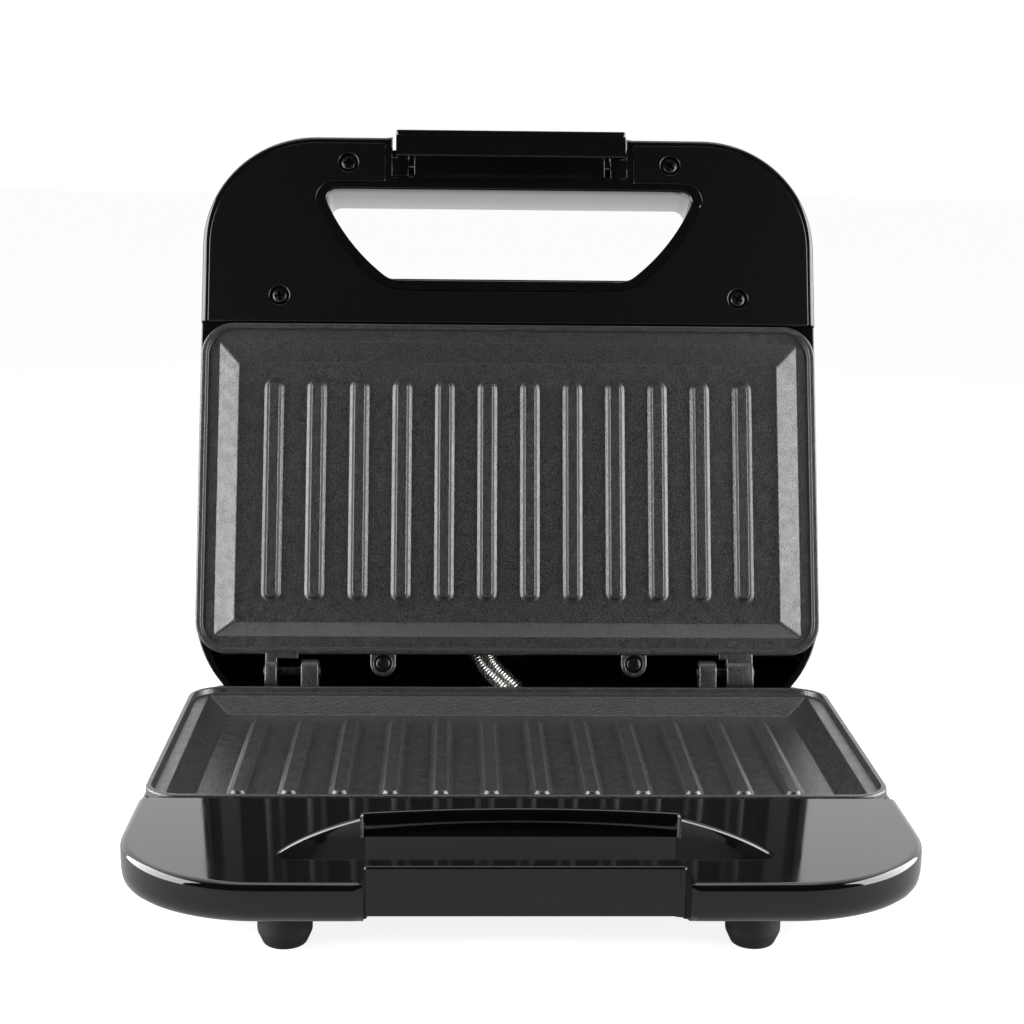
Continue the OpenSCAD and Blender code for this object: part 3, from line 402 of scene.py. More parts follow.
# %% [markdown]
# ### Satin and matt plastic
#
# The lid's inner cover and the bottom cover are spark-eroded ABS: the same black with a fine grain of
# about 0.3 mm, drawn at 0.4 mm so that it shows. The feet are soft rubber, greyer and duller still.

# %% Satin ABS and rubber
satin_abs = finish_of("satin_black_abs", "#050506", (900, 0.22, 0.26), (2500, 0.00001),
                      Roughness=0.24, IOR=1.5)
foot_rubber = finish_of("foot_rubber", "#1d1d1e", (700, 0.6, 0.8), (1800, 0.00003), Roughness=0.7, IOR=1.5)

# %% [markdown]
# ### Non-stick casting
#
# Die-cast aluminium under a sprayed fluoropolymer coat. The coat is charcoal grey, silky, and carries the
# grit that was blasted into the casting to hold it: grains of about 0.5 mm with paler tops.

# %% Non-stick coat
nonstick = finish_of("nonstick_coat", "#1c1c1d", (300, 0.28, 0.4), (1500, 0.00012), Roughness=0.34, IOR=1.6)
t = nonstick.node_tree
place = t.nodes["Texture Coordinate"].outputs["Object"]
grit = node(t, "ShaderNodeTexNoise", {"Scale": 2300.0, "Detail": 2.0}, {"Vector": place})
ramp = node(t, "ShaderNodeMapRange", {"From Min": 0.38, "From Max": 0.7, "To Min": 0.0, "To Max": 1.0},
            {"Value": grit.outputs["Fac"]})
coat = node(t, "ShaderNodeMix", {6: lin("#101011"), 7: lin("#353536")}, {0: ramp.outputs[0]},
            data_type="RGBA")
t.links.new(coat.outputs[2], t.nodes["Principled BSDF"].inputs["Base Color"])

# %% [markdown]
# ### Steel, aluminium, ceramic and the rest
#
# The screws underneath are zinc plated, the pins and the screws that show are blackened. The conduit is
# bright drawn wire, reflectors are rolled aluminium with a faint grain, the heating tubes are steel that
# heat has browned. Ceramic, woven glass sleeves and the two coloured lenses complete the list.


# %% Metals
def metal(name, colour, scale, low, high, rough):
    return finish_of(name, colour, (scale, low, high), Roughness=rough, Metallic=1.0)


zinc = metal("zinc_plated_steel", "#b4b4b2", 600, 0.22, 0.38, 0.3)
black_oxide = metal("black_oxide_steel", "#3c3c3d", 600, 0.25, 0.4, 0.32)
bright_wire = metal("bright_drawn_wire", "#e2e2e0", 900, 0.16, 0.3, 0.25)
rolled_sheet = metal("rolled_aluminium", "#cfd0d1", 80, 0.28, 0.42, 0.35)
heat_brown = metal("heat_browned_steel", "#6d6258", 120, 0.38, 0.55, 0.45)

# %% Ceramic, sleeves and lenses
ceramic = finish_of("glazed_ceramic", "#e8e3d6", (200, 0.2, 0.32), Roughness=0.25, IOR=1.55)
glass_sleeve = finish_of("woven_glass_sleeve", "#b9b3a5", bump=(1600, 0.0001, True), Roughness=0.75)
red_lens = finish_of("red_lens", "#b5241a", (300, 0.08, 0.16), Roughness=0.12, IOR=1.49)
green_lens = finish_of("green_lens", "#1f7a35", (300, 0.08, 0.16), Roughness=0.12, IOR=1.49)
lamp_glass = finish_of("neon_lamp_glass", "#e2c3a0", (300, 0.06, 0.14), Roughness=0.1, IOR=1.5)

# %% Finishes of the CAD pieces
cad_finish = {
    "base_shell": gloss_abs, "lid_shell": gloss_abs, "latch": gloss_abs, "base_cover": satin_abs,
    "lid_inner_cover": satin_abs, "cord_gland": satin_abs, "lower_plate": nonstick, "upper_plate": nonstick,
    "spring_conduit": bright_wire, "terminal_block": ceramic, "lower_thermostat": ceramic,
    "upper_thermostat": ceramic, "lower_heater": heat_brown, "upper_heater": heat_brown,
    "lower_reflector": rolled_sheet, "upper_reflector": rolled_sheet, "power_lens": red_lens,
    "ready_lens": green_lens, "indicator_lamps": lamp_glass}
for name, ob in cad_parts.items():
    look = cad_finish.get(name)
    if look is None:
        look = foot_rubber if name.startswith("foot") else glass_sleeve if name.endswith("leads") else zinc
    paint(ob, look)

# %% [markdown]
# ## The two housings
#
# Each half is an injection moulding: a deep tray whose front end becomes the handle. Its section is given
# by a few rings, each with a depth, an inset at the sides, and a rear and a front edge. Everything that
# faces outwards lies on the skin between those rings, so one function can tell how deep that skin is at
# any point of the plan. The fall of the rings towards the front makes the rounded nose of the handle.

# %% Rings of a housing and the depth of its skin
HALF, CORNER, FRONT, WALL = 114.5, 42.0, -195.0, 2.3
BASE_REAR, LID_REAR = 28.5, 25


def slope_rear(d):
    return LID_REAR - max(0, d - 8) * 25 / 24


NOSE_R = 7
turns = [math.radians(a) for a in range(0, 91, 10)]
nose = [(NOSE_R * math.sin(a), 0.4 * (1 - math.cos(a)), FRONT + NOSE_R * (1 - math.cos(a))) for a in turns]
base_rings = [(6 + down, 0, BASE_REAR, front) for down, _, front in nose]
base_rings += [(22.5, 0, 28.5, -163), (25, .2, 28.3, -157), (27, .6, 28, -152), (28.7, 1.3, 27.3, -148.4),
               (30, 2.4, 26.3, -145.5), (31, 4, 24.6, -142), (31.5, 6, 22.5, -139)]
rows = [(8, 0, FRONT)] + [(19 + down, inset, front) for down, inset, front in nose]
rows += [(27.7, .8, -178), (29, 1.4, -170), (30.2, 2.3, -163), (31, 3.4, -158), (31.7, 4.6, -153.5)]
lid_rings = [(d, inset, slope_rear(d), front) for d, inset, front in rows] + [(32, 6, 0, -150)]


def ring_side(ring, pts):
    """How far points of the plan lie outside one ring; negative inside it."""
    _, inset, rear, front = ring
    r = CORNER - inset
    qx = np.abs(pts[:, 0]) - (HALF - CORNER)
    qy = np.maximum(front + r - pts[:, 1], pts[:, 1] - rear + r)
    return np.where((qx > 0) & (qy > 0), np.hypot(qx, qy), np.maximum(qx, qy)) - r


def skin_depth(rings, pts):
    """Depth of the outer skin under points of the plan."""
    pts = np.asarray(pts, float)
    side = [ring_side(g, pts) for g in rings]
    depth = np.full(len(pts), float(rings[0][0]))
    for k in range(len(rings) - 1):
        a, b = side[k], side[k + 1]
        share = np.clip(-a / np.maximum(b - a, 1e-9), 0, 1)
        depth = np.where(a <= 1e-6, np.where(b <= 1e-6, rings[k + 1][0],
                                             rings[k][0] + share * (rings[k + 1][0] - rings[k][0])), depth)
    return depth


# %% [markdown]
# ### Outline of a housing
#
# Seen from above the outline is a rectangle with corners of 42 mm, broken at the front by the recess for
# the latch. In the base the recess is a plain step behind which the handle bar runs on. In the lid it has
# two deeper pockets for the latch's ears, which end on a floor, and only the middle is cut right through.
# Three insets are kept apart: of the outer edge, of the recess, and of the tray's edge beside and behind
# the plate, because those edges are rounded differently.

# %% Outline with three insets
RECESS, POCKET, POCKET_Z, BAR_FRONT, LIP_X = 44.0, 8.0, -17.0, -188.6, 46.5
SEAT_Y, SEAT_END, UNDER_PLATE = -123.1, -123.6, -3.0


def outline(half, s, recess=None, tray=None, deep=False):
    """The closed outline and a zone for each point: 0 handle edge, 1 recess, 2 tray."""
    q = s if recess is None else recess
    p = s if tray is None else tray
    front, rear = FRONT + s, BASE_REAR if half == "base" else LID_REAR
    qx = min(q, 2.2)
    side, inner = RECESS + qx, RECESS - POCKET
    straight = [(side, y, 0, 0) for y in (front, -194, -191.5, -188)]
    if half == "base":
        back = -181.5 + q
        steps = straight + [(side, -184.5, 0, 0), (side, back, 0.8 + qx, 3), (RECESS - 1.3, back, 0, 0),
                            (20, back, 0, 0)]
    elif deep:
        side = inner + qx
        run = [front + (BAR_FRONT + q - 0.4 - front) * k / 5 for k in range(6)]
        steps = [(side, y, 0, 0) for y in run[:4]] + [(side, y, 0.05, 3) for y in run[4:]]
        steps += [(side, BAR_FRONT + q, 0.3, 3), (20, BAR_FRONT + q, 0, 0)]
    else:
        back = -179.5 + q
        steps = straight + [(side, back, 0.8 + qx, 3), (inner - qx, back, 0.8 + qx, 3),
                            (inner - qx, BAR_FRONT + q, max(1 - q, 0.05), 3), (20, BAR_FRONT + q, 0, 0)]
    left = [(-x, y, r, n) for x, y, r, n in steps]
    corners = ([(s - HALF, front, CORNER - s, 24), (-LIP_X, front, 0, 0)] + both_sides(left)
               + [(LIP_X, front, 0, 0), (HALF - s, front, CORNER - s, 24), (HALF - s, SEAT_END, 0, 0),
                  (HALF - p, SEAT_Y, 0, 0), (HALF - p, rear - p, CORNER - p, 24),
                  (p - HALF, rear - p, CORNER - p, 24), (p - HALF, SEAT_Y, 0, 0), (s - HALF, SEAT_END, 0, 0)])
    zones = [0, 0] + [1] * (2 * len(left)) + [0, 0, 0] + [2] * 4 + [0]
    zone = np.concatenate([[z] * (c[3] + 1) for z, c in zip(zones, corners)])
    return round_path(corners), zone


# %% [markdown]
# ### The finger cut-out
#
# A half-moon of 75 mm radius goes right through each handle, so that the fingers close round the bar. In
# the base it is widened to the back, at the rim, by a shallow notch 6 mm deep with a gently bowed rear
# edge: the thumb's side of the grip. In the lid the arc runs smoothly into a flat side, which steps back
# by 1.8 mm at the same depth. The outlines above and below a step have the same number of points, so a
# ledge joins them.


# %% Outline of the cut-out
MOON_R, ARC_Y = 75, -200.3
BASE_GRIP, BASE_NOTCH, BASE_FLAT, NOTCH_X, BOW = -175.2, -137.7, -140.8, 47, 4.2
LID_GRIP, LID_NEAR, LID_FAR = -174.7, -139.8, -141.6


def arc_of(r, start, end):
    return [(r * math.cos(a), ARC_Y + r * math.sin(a), 0, 0) for a in np.linspace(start, end, 23)]


def along_grip(y0):
    return [(20, y0, 0, 0), (RECESS - 0.3, y0, 0, 0), (RECESS + 0.7, y0, 0, 0)]


def base_moon(grow=0.0, front=True):
    """The base's cut-out at the rim, with the notch, or further down, without it."""
    r, y0 = MOON_R + grow, BASE_GRIP - grow
    low = math.asin((y0 - ARC_Y) / r)
    start = low + (1.42 * (4 + grow) + 0.6) / r
    if front:
        xe, flat = NOTCH_X + grow, BASE_NOTCH + grow
        end = math.acos(xe / r)
        rear = [(xe, flat, 1.5 + grow, 4)]
        bow = lambda x: BASE_NOTCH + BOW * (1 - (x / xe) ** 2) + grow
    else:
        flat = BASE_FLAT + grow
        end = math.asin((flat - ARC_Y) / r)
        xe = r * math.cos(end)
        rear = [(xe - 0.02 * k, flat, 0, 0) for k in range(1, 6)]
        bow = lambda x: flat
    rear += [(xe * f, bow(xe * f), 0, 0) for f in (0.9, 0.7, 0.5, 0.3, 0.1)]
    turn = [(r * math.cos(low), y0, 4 + grow, 5)]
    return round_path(both_sides(along_grip(y0) + turn + arc_of(r, start, end) + rear))


def cut_side(r, y0, flat, soft, corner, near_turn, gap):
    """Right half of a half-moon: along the grip, round the arc and into the flat side."""
    start, end = math.asin((y0 - ARC_Y) / r) + (1.42 * corner + gap) / r, math.asin((flat - soft - ARC_Y) / r)
    arc = arc_of(r, start, end)
    x1, y1 = arc[-1][:2]
    run = (flat - y1) / math.cos(end)
    x2, x3 = x1 - run * math.sin(end), x1 - run * math.sin(end) - run
    bend = [((1 - f) ** 2 * x1 + 2 * f * (1 - f) * x2 + f * f * x3,
             (1 - f) ** 2 * y1 + (2 * f * (1 - f) + f * f) * flat, 0, 0) for f in (0.2, 0.4, 0.6, 0.8, 1)]
    rest = [(x3 * f, flat, 0, 0) for f in (0.8, 0.6, 0.4, 0.2, 0.05)]
    return near_turn + [(math.sqrt(r * r - (y0 - ARC_Y) ** 2), y0, corner, 5)] + arc + bend + rest


def lid_moon(grow=0.0, front=True):
    """The lid's cut-out above the step, or below it."""
    y0, flat = LID_GRIP - grow, (LID_NEAR if front else LID_FAR) + grow
    return round_path(both_sides(cut_side(MOON_R + grow, y0, flat, 2.0, 4 + grow, along_grip(y0), 0.6)))


STEP_Z, FLAT, EDGE = -6.5, 1.2, 0.9
FINE = (0, 22, 45, 67, 90)


def cut_edge(moon):
    """Rows over a cut-out's rounded edge and down its wall to the step."""
    rows = [(moon(FLAT), TOP)] + [(moon(s), z) for s, z in rounding(EDGE, degrees=FINE)]
    return rows + [(moon(0), STEP_Z), (moon(0, False), STEP_Z)]


# %% [markdown]
# ### Base housing
#
# The top of the handle is flat and half a millimetre under the rims of the plates. Its edge is rounded by
# 2 mm, then the belt falls straight to the nose, which curls under. Behind the handle the top of the wall
# drops by the plate's thickness, because the plate's rim lies on it.


# %% Rounded rim shared by both housings
def rim_rows(half, rings, low_wall):
    """Rows from the inner side of the top edge, over it, down the belt and under the nose."""
    rows = []
    base = half == "base"

    def top(path, zone):
        z = np.where(zone == 2, UNDER_PLATE, TOP)
        return np.where((zone == 2) & (path[:, 1] > 13), -low_wall, z)

    path, zone = outline(half, 2.3, 1.0, WALL)
    rows.append((path, top(path, zone)))
    for a in (0, 15, 30, 45, 60, 75, 90):
        k, m = 1 - math.sin(math.radians(a)), 1 - math.cos(math.radians(a))
        path, zone = outline(half, 2 * k, 0.7 * k, 0.6 * k)
        r = np.choose(zone, (2.0, 0.7, 0.6))
        rows.append((path, top(path, zone) - r * m))
    if not base:
        # down to the pockets' floor, and across it to the cut in the middle
        for deep in (False, True):
            path, zone = outline(half, 0, deep=deep)
            rows.append((path, np.maximum(POCKET_Z, -skin_depth(rings, path))))
    for s in (0, 0.12, 0.4, 0.94, 1.9, 3.2, 4.6, 6.0, 7.4):
        path, zone = outline(half, s, min(s, 6.2) if base else s, deep=not base)
        z = -skin_depth(rings, path)
        if base:
            z = np.where((zone == 1) & (np.abs(path[:, 0]) < RECESS - 0.5), -14.6, z)
        rows.append((path, z))
    return rows, zone


def part_of(rows, pick):
    """The picked points of each row as open rows, in one run along the path."""
    index = np.flatnonzero(pick)
    gap = np.flatnonzero(np.diff(index) > 1)
    if len(gap):
        index = np.roll(index, -(gap[0] + 1))
    return [(p[index], np.broadcast_to(z, (len(p),))[index]) for p, z in rows]


# %% Base housing
shell = Shell()
rows, zone = rim_rows("base", base_rings, 4.9)
shell.stack(rows)
# inside of the tray, from its edge down to the bottom cover
inner = part_of([(rows[0][0], rows[0][1]), (rows[0][0], -29.0)], zone == 2)
shell.stack(inner[::-1], closed=False)
# top of the handle, with the cut-out
edge = part_of(rows[:1], zone != 2)[0][0]
shell.fill(edge, [base_moon(FLAT)], TOP)
seat = np.array([(x, SEAT_END) for x in (HALF - WALL, WALL - HALF)])
shell.stack([(seat, TOP), (seat + (0, 0.35), -0.6), (seat + (0, 0.5), -0.9), (seat + (0, 0.5), -3.1),
             (seat + (0, 5), -3.15)], closed=False)
# walls of the cut-out
low = base_moon(0, False)
bar = (low[:, 1] < -175) & (np.abs(low[:, 0]) < RECESS)
foot_z = np.where(bar, -14.6, -skin_depth(base_rings, low))
shell.stack((cut_edge(base_moon) + [(low, foot_z)])[::-1])
strip = base_moon(2.4, False)
a, b = shell.loop(low, foot_z), shell.loop(strip, -skin_depth(base_rings, strip))
shell.bridge(b, a, keep=~(bar | np.roll(bar, -1)))
dress(shell.build("base_housing", base_place), "base", gloss_abs, "base_shell")

# %% [markdown]
# ### Lid housing
#
# The lid is the same tray, deeper, with its back cut off at a slope so that it can lean back over the
# base. Round the cut-out stands a narrow lip of the housing itself, and between the two ends of the inner
# cover the polished bar of the handle shows. A slot in the rear slope lets the conduit in, and two small
# tabs bridge the pockets over the latch's pin.

# %% Lid housing
shell = Shell()
rows, zone = rim_rows("lid", lid_rings, 3.0)
shell.stack(rows)
inner_z = -(skin_depth(lid_rings, rows[0][0]) - WALL)
inner = part_of([(rows[0][0], rows[0][1]), (rows[0][0], np.minimum(inner_z, -3.2))], zone == 2)
shell.stack(inner[::-1], closed=False)
# ceiling of the tray behind the plate
floor_edge = part_of([(rows[0][0], 0)], (zone == 2) & (rows[0][0][:, 1] > -12))[0][0]
shell.fill(floor_edge, [], lambda p: np.minimum(-(skin_depth(lid_rings, p) - WALL), -3.2), step=5)
# lip at the outer edge, with the groove where the inner cover sits
edge = part_of([(rows[0][0], TOP), (rows[0][0] * (0.9995, 1), -0.6), (rows[0][0] * (0.999, 1), -2.6)],
               (zone == 0) | (zone == 2) & (rows[0][0][:, 1] < -120))
for side in (-1, 1):
    one = [(p[p[:, 0] * side > LIP_X - 0.8], z[p[:, 0] * side > LIP_X - 0.8]) for p, z in edge]
    shell.stack(one[::-1], closed=False)


def cover_edge(grow):
    """Right half of the line from the lid's front edge along the recess and round the cut-out."""
    y0 = -177.3 - grow
    turn = [(LIP_X - 0.05 + grow, -192.7, 0, 0), (LIP_X - 0.05 + grow, y0, 0.6, 3)]
    return cut_side(78.6 + grow, y0, -135.8 + grow, 5.0, 6.4 + grow, turn, 0.8)


lip = np.array([outline("lid", 2.3, 1.0, WALL)[0][k] for k in np.flatnonzero(zone == 1)])
lip_rows = [(round_path(both_sides(cover_edge(grow)) + [(0, -230, 0, 0)])[:-1], z)
            for grow, z in ((-0.35, TOP), (-0.1, -0.57), (0, -0.8), (0, -2.6))]
shell.stack(lip_rows, closed=False)
shell.fill(np.concatenate((lip_rows[0][0], lip)), [lid_moon(FLAT)], TOP)
seat = np.array([(x, -123.45) for x in (HALF - WALL, WALL - HALF)])
shell.stack([(seat, -2.6), (seat + (0, 0.4), -2.7), (seat + (0, 0.4), -3.1), (seat + (0, 5), -3.15)],
            closed=False)
# walls of the cut-out, through to the lid's outer top
hole = cut_edge(lid_moon)
for a in np.radians(FINE[::-1]):
    wide = lid_moon(1.1 * (1 - math.sin(a)), False)
    hole.append((wide, -skin_depth(lid_rings, wide) + 1.1 * (1 - math.cos(a))))
wide = lid_moon(1.5, False)
hole.append((wide, -skin_depth(lid_rings, wide)))
shell.stack(hole[::-1])
shell.fill(rows[-1][0], [wide], lambda p: -skin_depth(lid_rings, p), step=6, face_up=False)
# cheeks of the conduit's slot
slot_edge = [(25, -3.6), (25, -8), (16.67, -16), (14.27, -16), (22.7, -7.9), (22.7, -3)]
for x, turned in ((-2.2, False), (11.7, True)):
    start = len(shell.verts)
    shell.verts += [(x, y, z) for y, z in slot_edge]
    cells = [(start, start + 1, start + 4, start + 5), (start + 1, start + 2, start + 3, start + 4)]
    shell.faces += [c[::-1] if turned else c for c in cells]
TAB_X, TAB_NEAR, TAB_FAR = 38.0, -187.0, -179.6
for x0, x1 in ((-RECESS - 0.4, -TAB_X), (TAB_X, RECESS + 0.4)):
    slab(shell, box_path(x0, x1, TAB_NEAR, TAB_FAR), -2.3, TOP, 0.4)
housing = shell.build("lid_housing", lid_place, slot=((-2.2, 12, -16), (11.7, 30, 1)))
dress(housing, "lid", gloss_abs, "lid_shell")

# %% [markdown]
# ### Inner cover of the lid's handle
#
# A flat moulding, 2 mm thick, closes the lid's handle on the inside. It runs round the cut-out on three
# sides and is held by four screws that sit in shallow round recesses.


# %% Inner cover
lid_screws = [(-60.6, -184.8), (60.6, -184.8), (-85.6, -133.5), (85.6, -133.5)]
SINK_R = 4.3


def cover_path(s):
    near, side = -192.6 + s, 112.1 - s
    rim = [(LIP_X + 0.1 + s, near, 0.5, 3), (side, near, 39.6 - s, 24), (side, -123.5 - s, 0.5, 3)]
    left = [(-x, y, r, n) for x, y, r, n in cover_edge(0.15 + s)[1:]]
    return round_path(both_sides(rim) + both_sides(left))


def add_sink(shell, x, y, rim, section):
    """A round recess for a screw head, from its edge down to its floor."""
    shell.stack(([(circle(x, y, rim), TOP)] + [(circle(x, y, r), z) for r, z in section])[::-1])
    shell.fill(circle(x, y, section[-1][0]), [], section[-1][1])


shell = Shell()
rows = [(cover_path(0.75), TOP)] + [(cover_path(s), z) for s, z in rounding(0.45)] + [(cover_path(0), -2.5)]
shell.stack(rows)
for x, y in lid_screws:
    add_sink(shell, x, y, SINK_R, [(3.65 + s, z) for s, z in rounding(0.4)] + [(3.5, -2.1)])
shell.fill(rows[0][0], [circle(x, y, SINK_R) for x, y in lid_screws], TOP)
shell.fill(rows[-1][0], [], -2.5, face_up=False)
dress(shell.build("lid_panel", lid_place), "lid", satin_abs, "lid_inner_cover")

# %% [markdown]
# ## The cast plates
#
# Both plates come from one die-cast pattern: a raised lip round the edge, a flat rim 1.9 mm below it,
# flanks that fall to a floor, and twelve low ribs. The flanks meet in mitres, and the one at the hinge is
# a little narrower. Every edge of a casting has a small radius, or the metal wouldn't fill it, so the
# section is drawn as a line with round corners.

# %% Plate without ribs
PLATE_W, PLATE_D = 228.0, 122.8
RIM, FLOOR = -1.9, -7.5


def plate_path(inset, radius, steps=10):
    x, y0, y1 = PLATE_W / 2 - inset, inset - PLATE_D, -inset + 0.18 * max(0, inset - 6.6)
    return round_path([(*at, radius, steps) for at in ((x, y1), (-x, y1), (-x, y0), (x, y0))])


def section(points):
    """Open line through (inset, height, radius) points, round at the corners."""
    between = [(x, z, r, 5) for x, z, r in points[1:-1]]
    return round_path([(*points[0][:2], 0, 0)] + between + [(*points[-1][:2], 0, 0)])


def plate_shell():
    """A plate with its ribs; the lugs and tabs come later."""
    shell = Shell()
    lip = section([(3.1, RIM, 0), (2.5, RIM, 0.3), (1.9, 0, 0.5), (0, 0, 0.7), (0, -2.6, 0)])
    rows = [(plate_path(i, 12 - i), z) for i, z in lip]
    shell.stack(rows + [(plate_path(0.4, 11.6), -3), (plate_path(3.6, 8.4), -3), (plate_path(10.4, 2.6), -9)])
    shell.fill(plate_path(10.4, 2.6), [], -9, face_up=False)
    line = section([(5.4, RIM, 0), (6.6, RIM, 0.9), (13.4, FLOOR, 1.4), (16.4, FLOOR, 0)])
    shell.stack([(plate_path(i, max(0.5, 1.2 + 0.1 * (i - 6.6))), z) for i, z in line][::-1])
    shell.fill(rows[0][0], [plate_path(5.4, 1.08)], RIM)
    shell.fill(plate_path(16.4, 2.18), feet_of_ribs, FLOOR)
    add_to(shell, *ribs)
    return shell


# %% [markdown]
# ### Ribs by Geometry Nodes
#
# One rib is a low stadium with flared feet and a round top. A small node tree repeats it along the plate:
# a line of points, one instance on each, made real at the end. The number of ribs and their pitch are
# inputs of the tree, so the pattern can be changed without drawing anything again.


# %% Node tree: a row of copies
def calc(t, operation, *terms, **settings):
    """Result of a math node; each term is a number or another node's output."""
    values = {k: v for k, v in enumerate(terms) if isinstance(v, (int, float))}
    links = {k: v for k, v in enumerate(terms) if k not in values}
    return node(t, "ShaderNodeMath", values, links, operation=operation, **settings).outputs[0]


def new_tree(name, **inputs):
    """A tree with its own inputs between geometry and material, each as (kind, value)."""
    t = bpy.data.node_groups.new(name, "GeometryNodeTree")
    t.interface.new_socket(name="Geometry", in_out="OUTPUT", socket_type="NodeSocketGeometry")
    for label, given in {"Geometry": ("Geometry",), **inputs, "Material": ("Material",)}.items():
        s = t.interface.new_socket(name=label, in_out="INPUT", socket_type="NodeSocket" + given[0])
        if len(given) > 1:
            s.default_value = given[1]
    return t, node(t, "NodeGroupInput").outputs


def end_tree(t, geometry, material):
    """Makes copies real, sets the material and hands the geometry out."""
    real = node(t, "GeometryNodeRealizeInstances", {}, {"Geometry": geometry})
    painted = node(t, "GeometryNodeSetMaterial", {}, {"Geometry": real.outputs[0], "Material": material})
    node(t, "NodeGroupOutput", {}, {0: painted.outputs[0]})
    return t


RIBS, PITCH, RIBS_Y = 12, 15.88, -61.5


def row_tree():
    """Copies the modifier's own mesh along X, centred."""
    t, put = new_tree("row_of_copies", Count=("Int", RIBS), Pitch=("Float", PITCH))
    half = calc(t, "MULTIPLY", calc(t, "SUBTRACT", put["Count"], 1.0), -0.5)
    start = node(t, "ShaderNodeCombineXYZ", {}, {"X": calc(t, "MULTIPLY", half, put["Pitch"])})
    step = node(t, "ShaderNodeCombineXYZ", {}, {"X": put["Pitch"]})
    line = node(t, "GeometryNodeMeshLine", {}, {"Count": put["Count"], "Start Location": start.outputs[0],
                                                "Offset": step.outputs[0]})
    copies = node(t, "GeometryNodeInstanceOnPoints", {}, {"Points": line.outputs[0],
                                                          "Instance": put["Geometry"]})
    return end_tree(t, copies.outputs[0], put["Material"])


def grown_by(tree, ob, **values):
    """Runs a node tree on an object and returns the mesh it gives, as plain vertices and faces."""
    mod = ob.modifiers.new("nodes", "NODES")
    mod.node_group = tree
    for item in tree.interface.items_tree:
        if item.item_type == "SOCKET" and item.in_out == "INPUT" and item.name in values:
            mod[item.identifier] = values[item.name]
    deps = bpy.context.evaluated_depsgraph_get()
    mesh = bpy.data.meshes.new_from_object(ob.evaluated_get(deps))
    verts = [tuple(v.co) for v in mesh.vertices]
    faces = [tuple(p.vertices) for p in mesh.polygons]
    bpy.data.meshes.remove(mesh)
    bpy.data.objects.remove(ob)
    print(tree.name, "gave", len(faces), "faces")
    return verts, faces


def plain(verts, faces, name="seed"):
    return placed(name, mesh_of(name, verts, [], faces))


# %% One rib
def stadium(width, length, n=12):
    r, run = width / 2, (length - width) / 2
    pts = [(r * math.cos(math.pi * k / n), run + r * math.sin(math.pi * k / n)) for k in range(n + 1)]
    pts += [(-x, -y) for x, y in pts]
    return np.array(pts)


def one_rib():
    shell = Shell()
    side = section([(-1.2, 0, 0), (0, 0, 0.7), (1.1, 0.6, 0.7), (1.9, 1.9, 0.5), (2.8, 1.9, 0)])
    shell.stack([(stadium(7.4 - 2 * i, 84 - 2 * i), FLOOR + z - 0.01) for i, z in side][::-1])
    shell.fill(stadium(1.8, 78.4), [], FLOOR + 1.89)
    return plain(shell.verts, shell.faces)


verts, faces = grown_by(row_tree(), one_rib(), Count=RIBS, Pitch=PITCH, Material=nonstick)
ribs = [(x, y + RIBS_Y, z) for x, y, z in verts], faces
feet_of_ribs = [stadium(9.8, 86.4) + ((k - (RIBS - 1) / 2) * PITCH, RIBS_Y) for k in range(RIBS)]

# %% [markdown]
# ### Hinge lugs and tabs
#
# The lower plate carries two lugs, the upper plate two legs that stand outside them, and a steel pin joins
# each pair. The upper plate also has two round tabs for the screws that hold it in the lid.

# %% Lugs, legs and tabs
lying = Matrix(((0, 0, 1, 0), (1, 0, 0, 0), (0, 1, 0, 0), (0, 0, 0, 1)))
LUG_R, PIN_R = 4.5, 2.3


def add_lug(shell, lower, x0, x1):
    """A lug of the lower plate, or a longer leg of the upper one, with the pin's hole."""
    if lower:
        cy, start, stop, ends, longer = HINGE_RISE, -60, 160, ([(-1, -3), (4.2, -3)], [(1.2, 0), (-1, 0)]), 0
    else:
        cy, start, stop, ends, longer = -3.1, 215, 500, ([(-1, -3)], [(1.4, 0), (-1, 0)]), 2.5
    arc = [(HINGE_BACK + LUG_R * math.cos(a) + (longer if math.cos(a) >= 0 else 0), cy + LUG_R * math.sin(a))
           for a in np.radians(np.linspace(start, stop, 25))]
    path = np.array(ends[0] + arc + ends[1])
    hole = circle(HINGE_BACK, cy, PIN_R + 0.05, 24)
    slab(shell, lambda s: grown(path, -s), x0, x1, 0.6, lying, [hole])


TAB_Y = 3.3


def add_tab(shell, x):
    def path(s):
        r = 4.7 - s
        pts = [(x + r * math.cos(a), TAB_Y + r * math.sin(a)) for a in np.linspace(0, math.pi, 19)]
        return np.array([(x + r, -0.9)] + pts + [(x - r, -0.9)])
    part = Shell()
    rows = [(path(1.0), TOP)] + [(path(s), z) for s, z in rounding(0.6)] + [(path(0), -2.7), (path(0.3), -3)]
    part.stack(rows)
    add_sink(part, x, TAB_Y, 3.7, [(3.3 + s, z) for s, z in rounding(0.35)] + [(3.2, -2.0)])
    part.fill(rows[0][0], [circle(x, TAB_Y, 3.7)], TOP)
    part.fill(rows[-1][0], [], -3, face_up=False)
    add_to(shell, part.verts, part.faces)


# %% Lower plate
shell = plate_shell()
add_lug(shell, True, -75.4, -69)
add_lug(shell, True, 69.4, 75.8)
dress(shell.build("lower_plate_cast", base_place, 40), "base", nonstick, "lower_plate")

# %% Upper plate
shell = plate_shell()
for x0, x1 in ((-88.4, -84), (79.5, 89.2)):
    add_lug(shell, False, x0, x1)
for x0, x1 in ((-88.4, -76.4), (76.8, 89.2)):
    slab(shell, box_path(x0, x1, -1, 1.6), -3, -0.05, 0.5)
PLATE_TABS = (-45.7, 45.7)
for x in PLATE_TABS:
    add_tab(shell, x)
dress(shell.build("upper_plate_cast", lid_place, 40), "lid", nonstick, "upper_plate")

